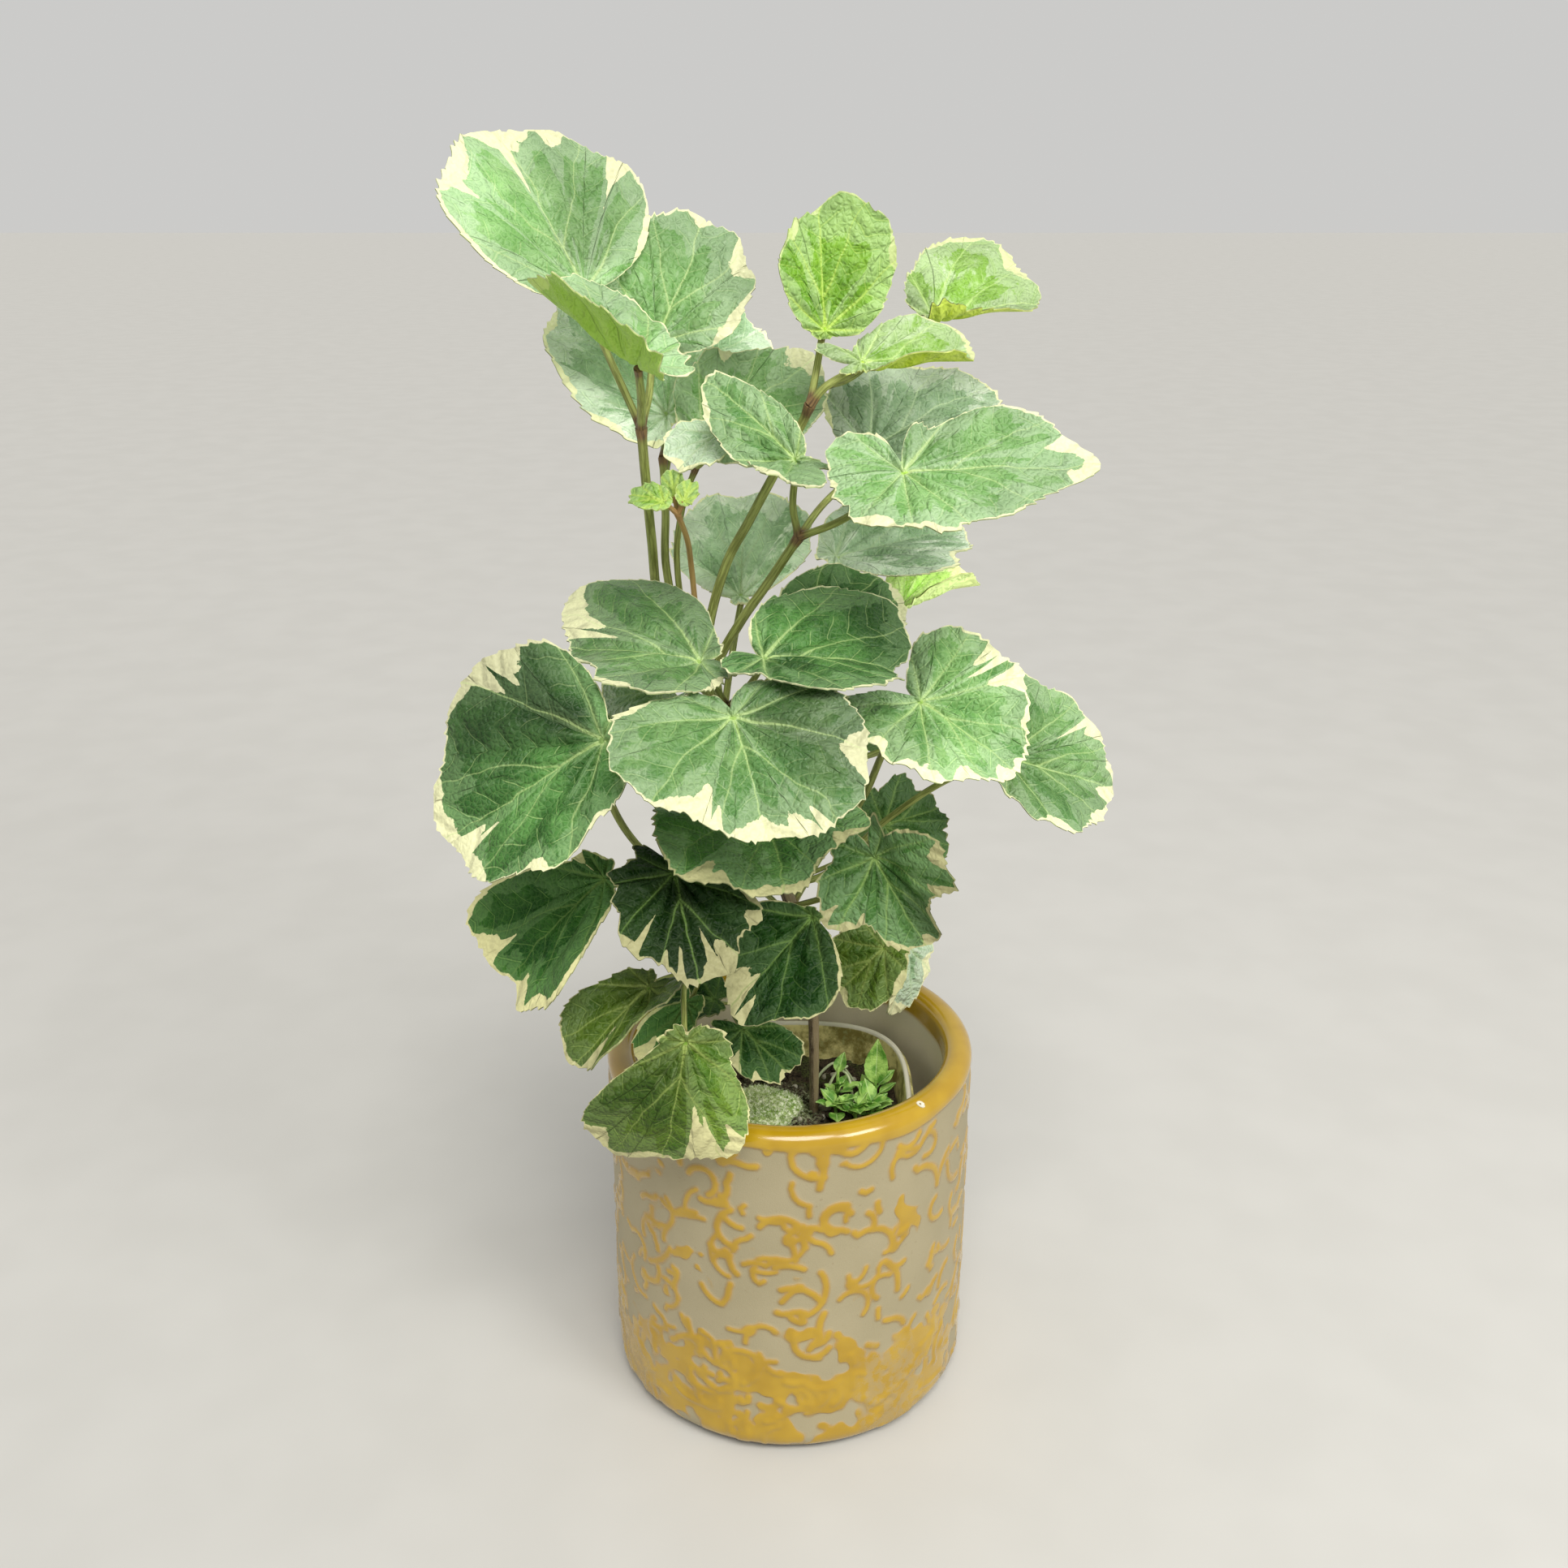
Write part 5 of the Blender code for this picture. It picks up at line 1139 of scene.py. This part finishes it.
def make_pot():
    """The glazed pot: raised yellow squiggles on clay, a rolled yellow rim and a plain wall inside."""
    draw = np.random.default_rng(POT_SEED)
    wall_top = POT_HEIGHT - POT_WALL / 2
    inside = POT_RADIUS - POT_WALL
    profile = [(CENTRE, 0), (30 * MM, 0), (POT_RADIUS - POT_FOOT_ROUND, 0)]
    for k in range(1, FOOT_STEPS + 1):
        out, up = POT_FOOT_ROUND * ahead_of(math.pi / 2 * (k / FOOT_STEPS - 1))
        profile.append((POT_RADIUS - POT_FOOT_ROUND + out, POT_FOOT_ROUND + up))
    rows = int((wall_top - POT_FOOT_ROUND) / POT_ROW)
    profile += [(POT_RADIUS, z) for z in np.linspace(POT_FOOT_ROUND, wall_top, rows + 1)[1:]]
    for k in range(1, RIM_STEPS):
        out, up = POT_WALL / 2 * ahead_of(math.pi * k / RIM_STEPS)
        profile.append((POT_RADIUS - POT_WALL / 2 + out, wall_top + up))
    first_inside = len(profile)
    heights = np.concatenate([[wall_top], np.arange(LINING_Z + 3, LINING_Z - 4, -.6) * MM,
                              np.linspace(LINING_Z - 6, POT_FLOOR / MM + 4, 10) * MM])
    profile += [(inside, z) for z in heights]
    profile += [(inside - 4 * MM, POT_FLOOR), (20 * MM, POT_FLOOR), (CENTRE, POT_FLOOR)]
    points = turned_points(profile, POT_COLUMNS)
    faces = grid_faces(len(profile), POT_COLUMNS) + caps(POT_COLUMNS, len(points))

    height = np.repeat([z for _, z in profile], POT_COLUMNS) / MM
    turn = np.tile(turns(POT_COLUMNS), len(profile))
    width = 2 * np.pi * POT_RADIUS / MM
    around = turn / (2 * np.pi) * width
    index = np.arange(len(profile)).repeat(POT_COLUMNS)
    last_outside = 2 + FOOT_STEPS + rows
    outside = index <= last_outside
    field = np.full(len(points), -9.0)
    strokes = squiggles(draw, width, BAND_Z - 2, 4)
    field[outside] = stroke_field(around[outside], height[outside], strokes, width)
    column = np.tile(np.arange(POT_COLUMNS), len(profile))
    row = height.astype(int)
    share = height - row
    noises = [soft_noise(draw, POT_COLUMNS, NOISE_ROWS, size, width, NOISE_ROWS) for size in PATCH_SIZES]
    broad, slow, crisp = (n[row, column] * (1 - share) + n[row + 1, column] * share for n in noises)
    low = smooth((PATCH_TOP - height) / PATCH_FADE)
    patch = (broad + .5 * slow + .45 * crisp - 2.4 + 3.15 * low) * 2.0
    patch = np.where(outside & (height > 2.5), patch, -9)
    wander = .8 * np.sin(around / 17) + .5 * np.sin(around / 6.1 + 1)
    band = np.where(outside, height - BAND_Z + wander, 9.0)
    glaze = .5 * np.log(np.exp(field / .5) + np.exp(patch / .5) + np.exp(band / .5))
    relief = RELIEF * smooth((np.maximum(field, band) + .45) / 1.3)
    relief += PATCH_RELIEF * smooth((patch + .3) / 1.2)
    over_rim = np.maximum(np.cos(np.clip(index - last_outside, 0, RIM_STEPS) * np.pi / RIM_STEPS), 0)
    relief = np.where(outside, relief, RELIEF * over_rim) * MM
    ways = np.column_stack([np.cos(turn), np.sin(turn), np.zeros(len(turn))])
    points = points + ways * relief[:, None]
    inner = np.where(index >= first_inside, smooth((LINING_Z + 1 + wander - height) / 2.4), 0)
    chip_x, chip_y = ahead_of(CHIP_TURN) * (POT_RADIUS - 2.2 * MM)
    chip = np.hypot(points[:, 0] - chip_x, (points[:, 1] - chip_y) * 1.3) / MM
    chip = np.where(height > 126, chip, 9)
    made = piece("glazed_pot", points, faces, pot_finish(),
                 {"glaze": np.clip(glaze, -6, 6), "inner": inner, "chip": chip,
                  "worn": np.clip(slow, -3, 3)})
    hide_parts("pot")


def pot_finish():
    """Matte clay under glossy yellow glaze that thins at its edges."""
    g = Graph("glazed_ceramic", Specular_IOR_Level=.5, Coat_Roughness=.07)
    spot = g.place()
    glaze, inner, chip, worn = g.number("glaze"), g.number("inner"), g.number("chip"), g.number("worn")
    glaze = (g.noise(spot, .5, 3) - .5) * .5 + glaze
    grain = g.noise(spot, 2.4, 4, .6)
    cloud = g.noise(spot, .03, 3)
    clay = g.mix(g.ramp(cloud, .3, .7), (.35, .3, .178), (.39, .335, .205))
    clay = g.mix(g.ramp(grain, .3, .7) * .2, clay, (.42, .37, .24))
    specks = g.ramp(g.noise(spot, .8, 2), .7, .74)
    clay = g.mix(specks * .35, clay, (.25, .18, .1))
    yellow = g.mix(g.ramp(g.noise(spot, .07, 2), .35, .65), (.41, .243, .006), (.475, .295, .012))
    thin = g.mix(.3, (.42, .225, .015), clay)
    coat = g.ramp(glaze, -.15, .15)
    yellow = g.mix(g.ramp(glaze, 0, .8), thin, yellow)
    height = g.parts(spot)[2]
    faded = g.ramp(worn, .3, 1.3) * g.ramp(g.noise(spot, .3, 4), .38, .62) * g.ramp(height, 50, 62, 1, 0)
    coat = coat * (1 - faded * .6)
    shade = g.mix(g.ramp(glaze, -.9, -.1, 0, .35), clay, thin)
    shade = g.mix(coat, shade, yellow)
    wall = g.mix(g.ramp(cloud, .35, .65), (.7, .64, .47), (.77, .71, .53))
    shade = g.mix(inner, shade, wall)
    # Painted shade: the lowest 2 mm darkened almost to black where the pot stands on the floor
    shade = g.mix(g.ramp(height, .3, 1.8, .85, 0), shade, (.07, .055, .04))
    bare = g.mix(g.ramp(chip, .5, .8), (.3, .22, .1), (.75, .7, .55))
    shade = g.mix(g.ramp(chip, 1.3, 1.7, 1, 0), shade, bare)
    glossy = coat * (1 - inner)
    rough = .6 - glossy * .42
    relief = grain * (.24 - glossy * .2) + g.ramp(glaze, -.5, .6) * .6
    g.bump(relief + g.ramp(chip, 1, 1.8), .0004)
    return g.use(Base_Color=shade, Roughness=rough, Coat_Weight=glossy * .45)


def make_liner():
    """The nursery pot: paler along its top edge, and a stained inner wall with moulded ribs."""
    outer = [(LINER_FOOT_HALF, LINER_FOOT_Z)]
    outer += [(LINER_TOP_HALF - in_by * MM, LINER_TOP_Z - down_by * MM) for in_by, down_by in LINER_LIP]
    inner_top = liner_inside(LINER_TOP_Z)
    outer += [(inner_top + .4 * MM, LINER_TOP_Z), (inner_top, LINER_TOP_Z - .4 * MM)]
    depth = LINER_TOP_Z - LINER_FOOT_Z - LINER_FLOOR
    for k in range(1, LINER_ROWS + 1):
        height = LINER_TOP_Z - depth * k / LINER_ROWS
        step = .35 * MM * (math.cos(k * 2 * math.pi / 6) > .55)
        outer.append((liner_inside(height) - step, height))
    rings = [spot for half, height in outer for spot in square_ring(half, height)]
    faces = grid_faces(len(outer), LINER_SIDES) + caps(LINER_SIDES, len(rings))
    made = piece("plant_liner", rings, faces, liner_finish(), sharp=50)
    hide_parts("nursery_pot")


def liner_finish():
    g = Graph("olive_plastic", Specular_IOR_Level=.4)
    spot = g.place()
    height = g.parts(spot)[2]
    stain = g.noise(spot, .12, 5, .65)
    shade = g.mix(g.ramp(stain, .38, .62), (.24, .2, .05), (.85, .76, .32))
    moss = g.ramp(g.noise(spot, .35, 4, .6), .55, .7)
    shade = g.mix(moss * .5, shade, (.42, .46, .2))
    edge = g.ramp(g.noise(spot, .3, 2) * .5 + height, 111, 111.5)
    shade = g.mix(edge, shade, (.72, .68, .55))
    g.bump(stain, .0003)
    return g.use(Base_Color=shade, Roughness=.55)


def crumb(draw, centre, size, sides=6):
    """One rough lump: a squashed sphere with uneven points."""
    points = []
    rows = 4
    for row in range(rows + 1):
        lift = math.pi * row / rows
        for k in range(sides):
            turn = 2 * math.pi * (k + .5 * (row % 2)) / sides
            far = draw.uniform(.75, 1.15)
            points.append([*ahead_of(turn) * (math.sin(lift) * far + 1e-3), math.cos(lift) * .8])
    points = np.array(points) * size + centre
    return points, grid_faces(rows + 1, sides)


def make_soil():
    """Potting soil: an uneven top in the solid's place, with crumbs and a few pale grains."""
    draw = np.random.default_rng(SOIL_SEED)
    low = LINER_FOOT_Z + LINER_FLOOR + GAP
    foot, top = (liner_inside(height) - 1.5 * GAP for height in (low, SOIL_Z))
    rings = [(foot, low, 1), (top, SOIL_Z - 1 * MM, 1)]
    rings += [(top, SOIL_Z, share) for share in np.linspace(.995, .02, SOIL_RINGS)]
    points = np.vstack([np.array(square_ring(half, height)) * (share, share, 1)
                        for half, height, share in rings])
    on_top = np.arange(len(points)) >= 2 * LINER_SIDES
    x, y = points[:, 0] / MM, points[:, 1] / MM
    rough = 0
    for f, a in zip(np.repeat([.5, .9, 1.6, 2.6], 3), draw.uniform(0, 6.3, 12)):
        tall = draw.uniform(.4, 1) / f
        rough = rough + tall * np.sin(f * (x * math.cos(a) + y * math.sin(a)) + draw.uniform(0, 6))
    flat = np.array([soil_height(px, py) for px, py in points[:, :2]])
    points[:, 2] = np.where(on_top, flat + rough * .35 * MM, points[:, 2])
    faces = grid_faces(len(rings), LINER_SIDES) + caps(LINER_SIDES, len(points))
    parts = [(points, faces, np.zeros(len(points)))]
    for _ in range(CRUMBS):
        spot = draw.uniform(-1, 1, 2) * CRUMB_SPREAD
        if (np.abs(spot) ** LINER_SQUARENESS).sum() > SOIL_REACH ** LINER_SQUARENESS:
            continue
        size = draw.uniform(*CRUMB_SIZES) ** 1.6 * MM
        lump, some = crumb(draw, np.array([*spot, soil_height(*spot) + size * .3]), size)
        parts.append((lump, some, np.full(len(lump), float(draw.uniform() < PALE_SHARE))))
    lump, some = crumb(draw, np.array(PEBBLE) * MM, PEBBLE_RADIUS, 14)
    parts.append((lump, some, np.full(len(lump), 1.0)))
    points, faces, pale = joined(parts)
    made = piece("potting_soil", points, faces, soil_finish(), {"pale": pale}, sharp=0)
    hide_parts("soil")


def soil_finish():
    g = Graph("soil", Specular_IOR_Level=.25)
    spot = g.place()
    fibres = g.noise(g.scaled(spot, (1, 1, 2.5)), 1.1, 6, .7)
    shade = g.mix(g.ramp(fibres, .35, .65), (.02, .015, .009), (.1, .07, .04))
    green = g.ramp(g.noise(spot, .09, 3), .5, .64)
    shade = g.mix(green * g.ramp(fibres, .4, .6), shade, (.09, .12, .03))
    cushion = tuple(c / MM for c in (*MOSS_CENTRE, SOIL_Z))
    place = g.node("VectorMath", {0: spot, 1: cushion}, operation="DISTANCE")
    crust = g.ramp(place.outputs["Value"], 14, 26, 1, 0) * g.ramp(g.noise(spot, .8, 5, .66), .45, .6)
    shade = g.mix(crust * .8, shade, (.5, .56, .32))
    shade = g.mix(g.number("pale"), shade, (.5, .47, .36))
    g.bump(fibres, .0008)
    return g.use(Base_Color=shade, Roughness=.92)


def make_moss():
    """A cushion of moss: a lumpy core with many small tufts."""
    draw = np.random.default_rng(MOSS_SEED)
    rows, columns = MOSS_ROWS, MOSS_COLUMNS
    level = np.repeat(np.linspace(0, 1, rows), columns)
    turn = np.tile(turns(columns), rows)
    share = np.cos(level * np.pi / 2) ** .6
    lump = share * (1 + .08 * np.sin(3 * turn + 1) + .05 * np.sin(5 * turn))
    x = MOSS_CENTRE[0] + MOSS_SIZE[0] * lump * np.cos(turn)
    y = MOSS_CENTRE[1] + MOSS_SIZE[1] * lump * np.sin(turn)
    ground = np.array([soil_height(a, b) for a, b in zip(x, y)])
    bumps = .05 * np.sin(x / MM * 1.3 + 2) * np.sin(y / MM * 1.5)
    bumps += .03 * np.sin(x / MM * 3.1) * np.sin(y / MM * 2.7)
    z = ground + (np.sin(level * np.pi / 2) * (.93 + bumps)) * MOSS_SIZE[2]
    core = np.column_stack([x, y, z])
    faces = grid_faces(rows, columns)
    normals = surface_normals(core, faces)
    if normals[-columns:, 2].mean() < 0:
        normals = -normals
    points, start = [core], len(core)
    for _ in range(TUFTS):
        at = draw.integers(columns, len(core))
        spot = core[at] + draw.uniform(-.5, .5, 3) * MM
        way = normals[at] + draw.normal(size=3) * .55
        way /= np.linalg.norm(way)
        side = np.cross(way, draw.normal(size=3))
        side /= np.linalg.norm(side)
        tall, wide = draw.uniform(*TUFT_HEIGHTS) * MM, draw.uniform(*TUFT_HALF_WIDTHS) * MM
        points.append([spot - side * wide, spot + side * wide, spot + way * tall])
        faces.append([start, start + 1, start + 2])
        start += 3
    made = piece("moss_cushion", np.vstack(points), faces, moss_finish(), sharp=0)
    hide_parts("moss")


def moss_finish():
    g = Graph("moss", Specular_IOR_Level=.2)
    spot = g.place()
    shade = g.mix(g.ramp(g.noise(spot, .14, 3), .35, .65), (.27, .42, .08), (.5, .61, .25))
    crust = g.noise(spot, .75, 5, .68)
    shade = g.mix(g.ramp(crust, .44, .6), shade, (.92, .95, .74))
    shade = g.mix(g.ramp(crust, .3, .42, .8, 0), shade, (.08, .13, .03))
    return g.use(Base_Color=shade, Roughness=.9)


def make_weeds():
    """Small weeds: a stalk with a pointed leaf in its solid's place, and small leaves round its foot."""
    finish = weed_finish()
    draw = np.random.default_rng(WEED_SEED)
    for number, weed in enumerate(WEEDS, 1):
        foot = np.array([weed["foot"][0] * MM, weed["foot"][1] * MM, SOIL_Z])
        ahead = facing(weed["heading"] + 90, weed["rise"])
        top = foot + (0, 0, weed["height"] * MM)
        line = curve_through([foot - (0, 0, 6 * MM), foot + (0, 0, 2 * MM), top, top + ahead * 3 * MM], 8)
        points, faces, _, _ = tube_mesh(line, np.linspace(*WEED_STALK, len(line)), 10)
        parts = [(points, faces, np.full(len(points), 3.0))]
        parts.append(weed_leaf(top, weed["heading"], weed["rise"], weed["length"] * MM, weed["width"] * MM))
        for k in range(WEED_LEAVES[number - 1]):
            heading = k * GOLDEN_TURN + draw.uniform(-20, 20)
            start = foot + (0, 0, draw.uniform(*SMALL_FEET) * MM)
            length = draw.uniform(*SMALL_LENGTHS) * MM
            rise = draw.uniform(*SMALL_RISES)
            way = facing(heading + 90, rise) * MM
            base = start + way * draw.uniform(1, 2.5)
            stem = np.array([start - (0, 0, 1 * MM), (start + base) / 2, base + way])
            p, f, _, _ = tube_mesh(stem, np.full(3, SMALL_STALK), 6)
            parts.append((p, f, np.full(len(p), 3.0)))
            parts.append(weed_leaf(base, heading, rise, length, length * draw.uniform(*SMALL_WIDTHS)))
        for arch in ARCHES if number == 3 else ():
            points, faces, _, _ = tube_mesh(curve_through([np.array(spot) * MM for spot in arch], 8),
                                            np.linspace(.55, .4, 8 * (len(arch) - 1) + 1) * MM, 8)
            parts.append((points, faces, np.full(len(points), -1.0)))
        points, faces, across = joined(parts)
        made = piece(f"small_weed_{number}", points, faces, finish, {"across": across})
        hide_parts(f"weed_{number}")


def joined(parts):
    """One set of points, faces and numbers from several."""
    faces, start = [], 0
    for points, some, _ in parts:
        faces += [[n + start for n in face] for face in some]
        start += len(points)
    return np.vstack([part[0] for part in parts]), faces, np.concatenate([part[2] for part in parts])


def weed_leaf(base, heading, rise, length, width):
    """A small ovate leaf with a pointed tip and a toothed margin, folded along its middle."""
    ahead = facing(heading + 90, rise)
    side = np.cross(ahead, (0, 0, 1))
    side /= np.linalg.norm(side)
    up = np.cross(side, ahead)
    count = WEED_SIDES
    turn = turns(count)
    share = (1 - np.cos(turn)) / 2
    outline = np.sign(np.sin(turn)) * (np.sin(np.pi * share ** .72) + .02)
    saw = (share * WEED_TEETH) % 1
    rows, across = [], []
    for out in WEED_RINGS:
        notch = 1 - .07 * (out == 1) * saw
        wide = width / 2 * outline * out * notch
        run = .4 + (share - .4) * out
        lift = np.abs(wide) * .35 + .02 * length * np.sin(run * 9) * out
        rows.append(base + np.outer(run * length, ahead) + np.outer(wide, side) + np.outer(lift, up))
        across.append(np.abs(wide) / MM)
    surface = np.vstack(rows)
    shell = grid_faces(len(rows), count)
    normals = surface_normals(surface, shell)
    total = len(surface)
    both = np.vstack([surface + normals * WEED_SHEET, surface - normals * WEED_SHEET])
    shell = shell + [[n + total for n in face[::-1]] for face in shell]
    for k in range(count):
        a, b = total - count + k, total - count + (k + 1) % count
        shell.append([b, a, a + total, b + total])
    shell += [list(range(count))[::-1], [n + total for n in range(count)]]
    return both, shell, np.tile(np.concatenate(across), 2)


def weed_finish():
    g = Graph("weed", Specular_IOR_Level=.4)
    spot = g.place()
    shade = g.mix(g.ramp(g.noise(spot, .25, 3), .35, .65), (.1, .28, .03), (.42, .66, .15))
    across = g.number("across")
    shade = g.mix(g.ramp(across, .1, .35, .7, 0), shade, (.55, .74, .3))
    shade = g.mix(g.ramp(across, -.6, -.3, 1, 0), shade, (.55, .62, .36))
    g.bump(g.noise(spot, 1.4, 3), .0003)
    return g.use(Base_Color=shade, Roughness=.45)


def add_light(name, kind, place, power, colour, target=(0, 0, 0), **more):
    lamp = bpy.data.lights.new(name, kind)
    lamp.energy, lamp.color = power, colour
    for key, value in more.items():
        setattr(lamp, key, value)
    made = bpy.data.objects.new(name, lamp)
    made.location, made.rotation_euler = place, look(place, target)
    bpy.context.scene.collection.objects.link(made)


def look(place, target):
    """The turn that points an object's -Z from a place to a target, with its top upwards."""
    way = np.subtract(target, place)
    return (math.atan2(math.hypot(way[0], way[1]), -way[2]), 0, math.atan2(-way[0], way[1]))


def make_stage():
    scene = bpy.context.scene
    corners = [(x * FLOOR_HALF, y * FLOOR_HALF, 0) for x, y in ((-1, -1), (1, -1), (1, 1), (-1, 1))]
    mesh = bpy.data.meshes.new("floor")
    mesh.from_pydata(corners, [], [(0, 1, 2, 3)])
    floor = bpy.data.objects.new("floor", mesh)
    g = Graph("floor", Roughness=.7)
    weave = g.noise(g.place(), .02, 2)
    shade = g.mix(g.ramp(weave, .3, .7), (.545, .535, .505), (.565, .555, .525))
    mesh.materials.append(g.use(Base_Color=shade))
    scene.collection.objects.link(floor)

    world = bpy.data.worlds.new("studio")
    world.use_nodes = True
    sky = world.node_tree.nodes["Background"].inputs
    sky["Color"].default_value = SKY_COLOUR
    sky["Strength"].default_value = SKY_STRENGTH
    scene.world = world
    add_light("sun", "SUN", **SUN)
    add_light("pot_fill", "AREA", **FILL)

    camera = bpy.data.objects.new("camera", bpy.data.cameras.new("camera"))
    camera.data.lens, camera.data.sensor_width = LENS, LENS
    camera.location = tuple(VIEW_EYE)
    camera.rotation_euler = (math.pi / 2 - VIEW_PITCH, 0, 0)
    scene.collection.objects.link(camera)
    scene.camera = camera
    scene.view_settings.view_transform = "Standard"


# Painted shade and light on parts of a blade, darker where leaves above shade a lobe and lighter where
# the light falls full on it: (hour, half width in hours, share of light)
LOBE_PAINTED_LIGHT_AND_SHADE = {
    "left_1": ((2, 1.5, .32),),
    "middle_3": ((9.5, 1.6, .58),),
    "middle_1": ((.4, 2.2, .8),),
    "middle_2": ((5.5, 1.5, .75),),
    "right_1": ((7, 1.6, .62), (1, 1, 1.1)),
    "top_left_1": ((1, 1.3, .68),),
    "low_front_1": ((0, 1.2, .6),),
    "low_right_1": ((9.8, 1.2, 1.3),),
    "rim_left_1": ((10.2, 1.2, 1.7), (1.2, 1.4, .85)),
    "young_3": ((10.5, 1.6, 1.35),),
}

# Each leaf's green and how light it is, partly its own tone and partly painted light and shade, then its
# cream: the margin's usual width in mm, and patches of (hour from the tip, half width in hours, depth in
# mm)
LOOKS = {
    "top_left_1": ("pale", 1.12, 1.5, ((11.1, .45, 7), (10.9, .12, 11), (10, .8, 2), (11.95, .35, 8),
        (11.9, .07, 24), (.5, .15, 7), (1.3, .16, 10), (1.3, .06, 16), (2.2, .35, 4))),
    "top_left_2": ("pale", 1, 1, ((11.5, .4, 3.5), (11.75, .12, 8))),
    "top_left_3": ("pale", .84, .8, ((.85, .35, 6), (1.9, .55, 4.5), (11.9, .2, 3))),
    "top_back_1": ("sage", 1.8, 1.5, ((11.8, .25, 3), (8.1, .5, 2.5), (9.6, .5, 3), (10.8, .4, 2.5))),
    "top_back_2": ("sage", 1.7, 1.4, ((2, 1, 2),)),
    "centre_back_1": ("pale", .8, .9, ((10.8, .15, 4.5), (0, .35, 7.5))),
    "centre_back_2": ("sage", 1.5, 1.6, ((0, .8, 2.5),)),
    "right_high_1": ("upper", .88, 1, ((11.5, .4, 2), (8, 1, 2.4))),
    "right_high_2": ("sage", .9, 1.5, ((8.6, .4, 2.6),)),
    "right_high_3": ("pale", .86, 1.1, ((5.8, .2, 2), (3.8, .6, 4), (11.7, .14, 8), (0, .3, 5),
        (2.5, .8, 1.8))),
    "young_1": ("young", .85, .8, ((11.4, .2, 2.6), (11.95, .12, 1.8), (1.5, .3, 2.6))),
    "young_2": ("fresh", .68, .7, ((11.9, .5, 1.8),)),
    "young_3": ("fresh", .62, .9, ((11.1, .4, 5), (10, .6, 2.4), (9.3, .4, 1.2), (.6, .4, 2.6))),
    "inner_back_1": ("sage", 1.7, 1.1, ()),
    "inner_right_1": ("sage", 1.28, 1.4, ((1, .5, 2),)),
    "inner_right_2": ("lemon", 2.3, 1.2, ((11.5, .6, 4), (.4, .45, 9))),
    "inner_right_3": ("middle", .9, .8, ((.35, .4, 5), (1.4, .5, 3.5), (3, .5, 2.4), (11.9, .3, 2.5))),
    "middle_1": ("middle", 1, 1, ((7.3, .3, 1.5), (8.5, .3, 2.5))),
    "middle_2": ("upper", .77, 1.3, ((.75, .42, 8), (.6, .22, 13.5), (.35, .1, 16), (11.4, .35, 2.4),
        (7.8, .8, 3.4), (10.1, .4, 3))),
    "middle_3": ("upper", .78, 1.2, ((3.35, .35, 2.5), (1.3, .35, 5.5), (1, .22, 13), (.72, .1, 8),
        (.05, .5, 6), (0, .12, 9), (11.55, .2, 8), (10.25, .35, 7.5), (11.3, .07, 9))),
    "left_1": ("middle", 1.12, 1.4, ((2.3, .25, 8), (2.15, .1, 13), (1.9, .16, 12), (1.75, .5, 3),
        (.45, .25, 4), (.15, .35, 5.5), (11.9, .12, 13), (11.8, .05, 20), (11.6, .3, 5), (9.75, .3, 2.5),
        (10.7, .2, 4.5))),
    "left_2": ("lower", 2, 1.6, ((2.6, .25, 5), (1.6, .5, 3.6), (1.3, .5, 2.5), (.55, .25, 8),
        (.45, .09, 15), (11.6, .3, 7.5), (11.1, .3, 5), (10.5, .6, 3))),
    "left_back_1": ("sage", 1.3, .9, ()),
    "low_front_1": ("lower", .5, 1.1, ((1.35, .3, 3), (1.2, .1, 12), (11.7, .12, 14), (11.5, .25, 8),
        (11.75, .25, 6), (10.15, .25, 4.2), (10.6, .2, 4.5), (.6, .08, 6), (.3, .07, 10), (.2, .6, 2))),
    "low_front_2": ("dusky", 1.15, 1, ((1.3, .16, 9.5), (1.1, .25, 5), (.3, .4, 3.5), (11.9, .4, 3.2),
        (10.5, .3, 4))),
    "low_front_3": ("lower", .78, .9, ((.25, .3, 9), (.05, .14, 12), (11.8, .1, 9), (9.7, .4, 2.5))),
    "low_right_1": ("dusky", .88, 1.3, ((8.8, .25, 2.5), (9.5, .25, 6), (10.25, .22, 4.5), (11.3, .3, 2),
        (1.85, .4, 2.5), (2.3, .15, 5), (1.4, .12, 4), (.55, .35, 1.8), (11.9, .15, 5))),
    "low_right_2": ("dusky", 1, .6, ()),
    "low_right_3": ("olive", 1.5, 1, ((0, .6, 3), (9.5, .6, 3))),
    "low_right_4": ("sage", 1, 1.2, ((10, .8, 4), (0, .6, 5), (8, .5, 4))),
    "right_1": ("upper", 1.12, 1.2, ((9.55, .16, 10), (9.8, .08, 16), (10.25, .25, 10.5), (10.4, .2, 6),
        (11.1, .3, 2), (3, .3, 5), (1.7, .3, 4.5), (.95, .3, 5), (.2, .2, 5.5), (11.9, .2, 2),
        (2.1, .3, 3.2))),
    "right_2": ("upper", .95, 1.2, ((11, .2, 6), (10.8, .07, 16), (11.7, .2, 2.5), (.1, .2, 6.5),
        (.7, .35, 3), (1.7, .3, 3.4))),
    "low_left_1": ("olive", .9, .8, ((11.75, .15, 11.5), (.3, .5, 1.4))),
    "low_left_2": ("lower", 2.7, .9, ((1.6, .9, 2.4), (.3, .3, 7))),
    "low_left_3": ("lower", 1.2, .8, ()),
    "rim_left_1": ("olive", 1.12, 1.1, ((11.45, .26, 18), (11.25, .14, 13.5), (10.85, .12, 9),
        (.95, .25, 5.5), (.3, .5, 2.6), (11, .2, 4.5), (5.7, .5, 1.5))),
    "rim_left_2": ("lower", 1.4, .9, ((2, .35, 5), (1.1, .2, 3.6), (.1, .3, 2))),
}

make_leaves()
make_stalks()
make_pot()
make_liner()
make_soil()
make_moss()
make_weeds()
make_stage()
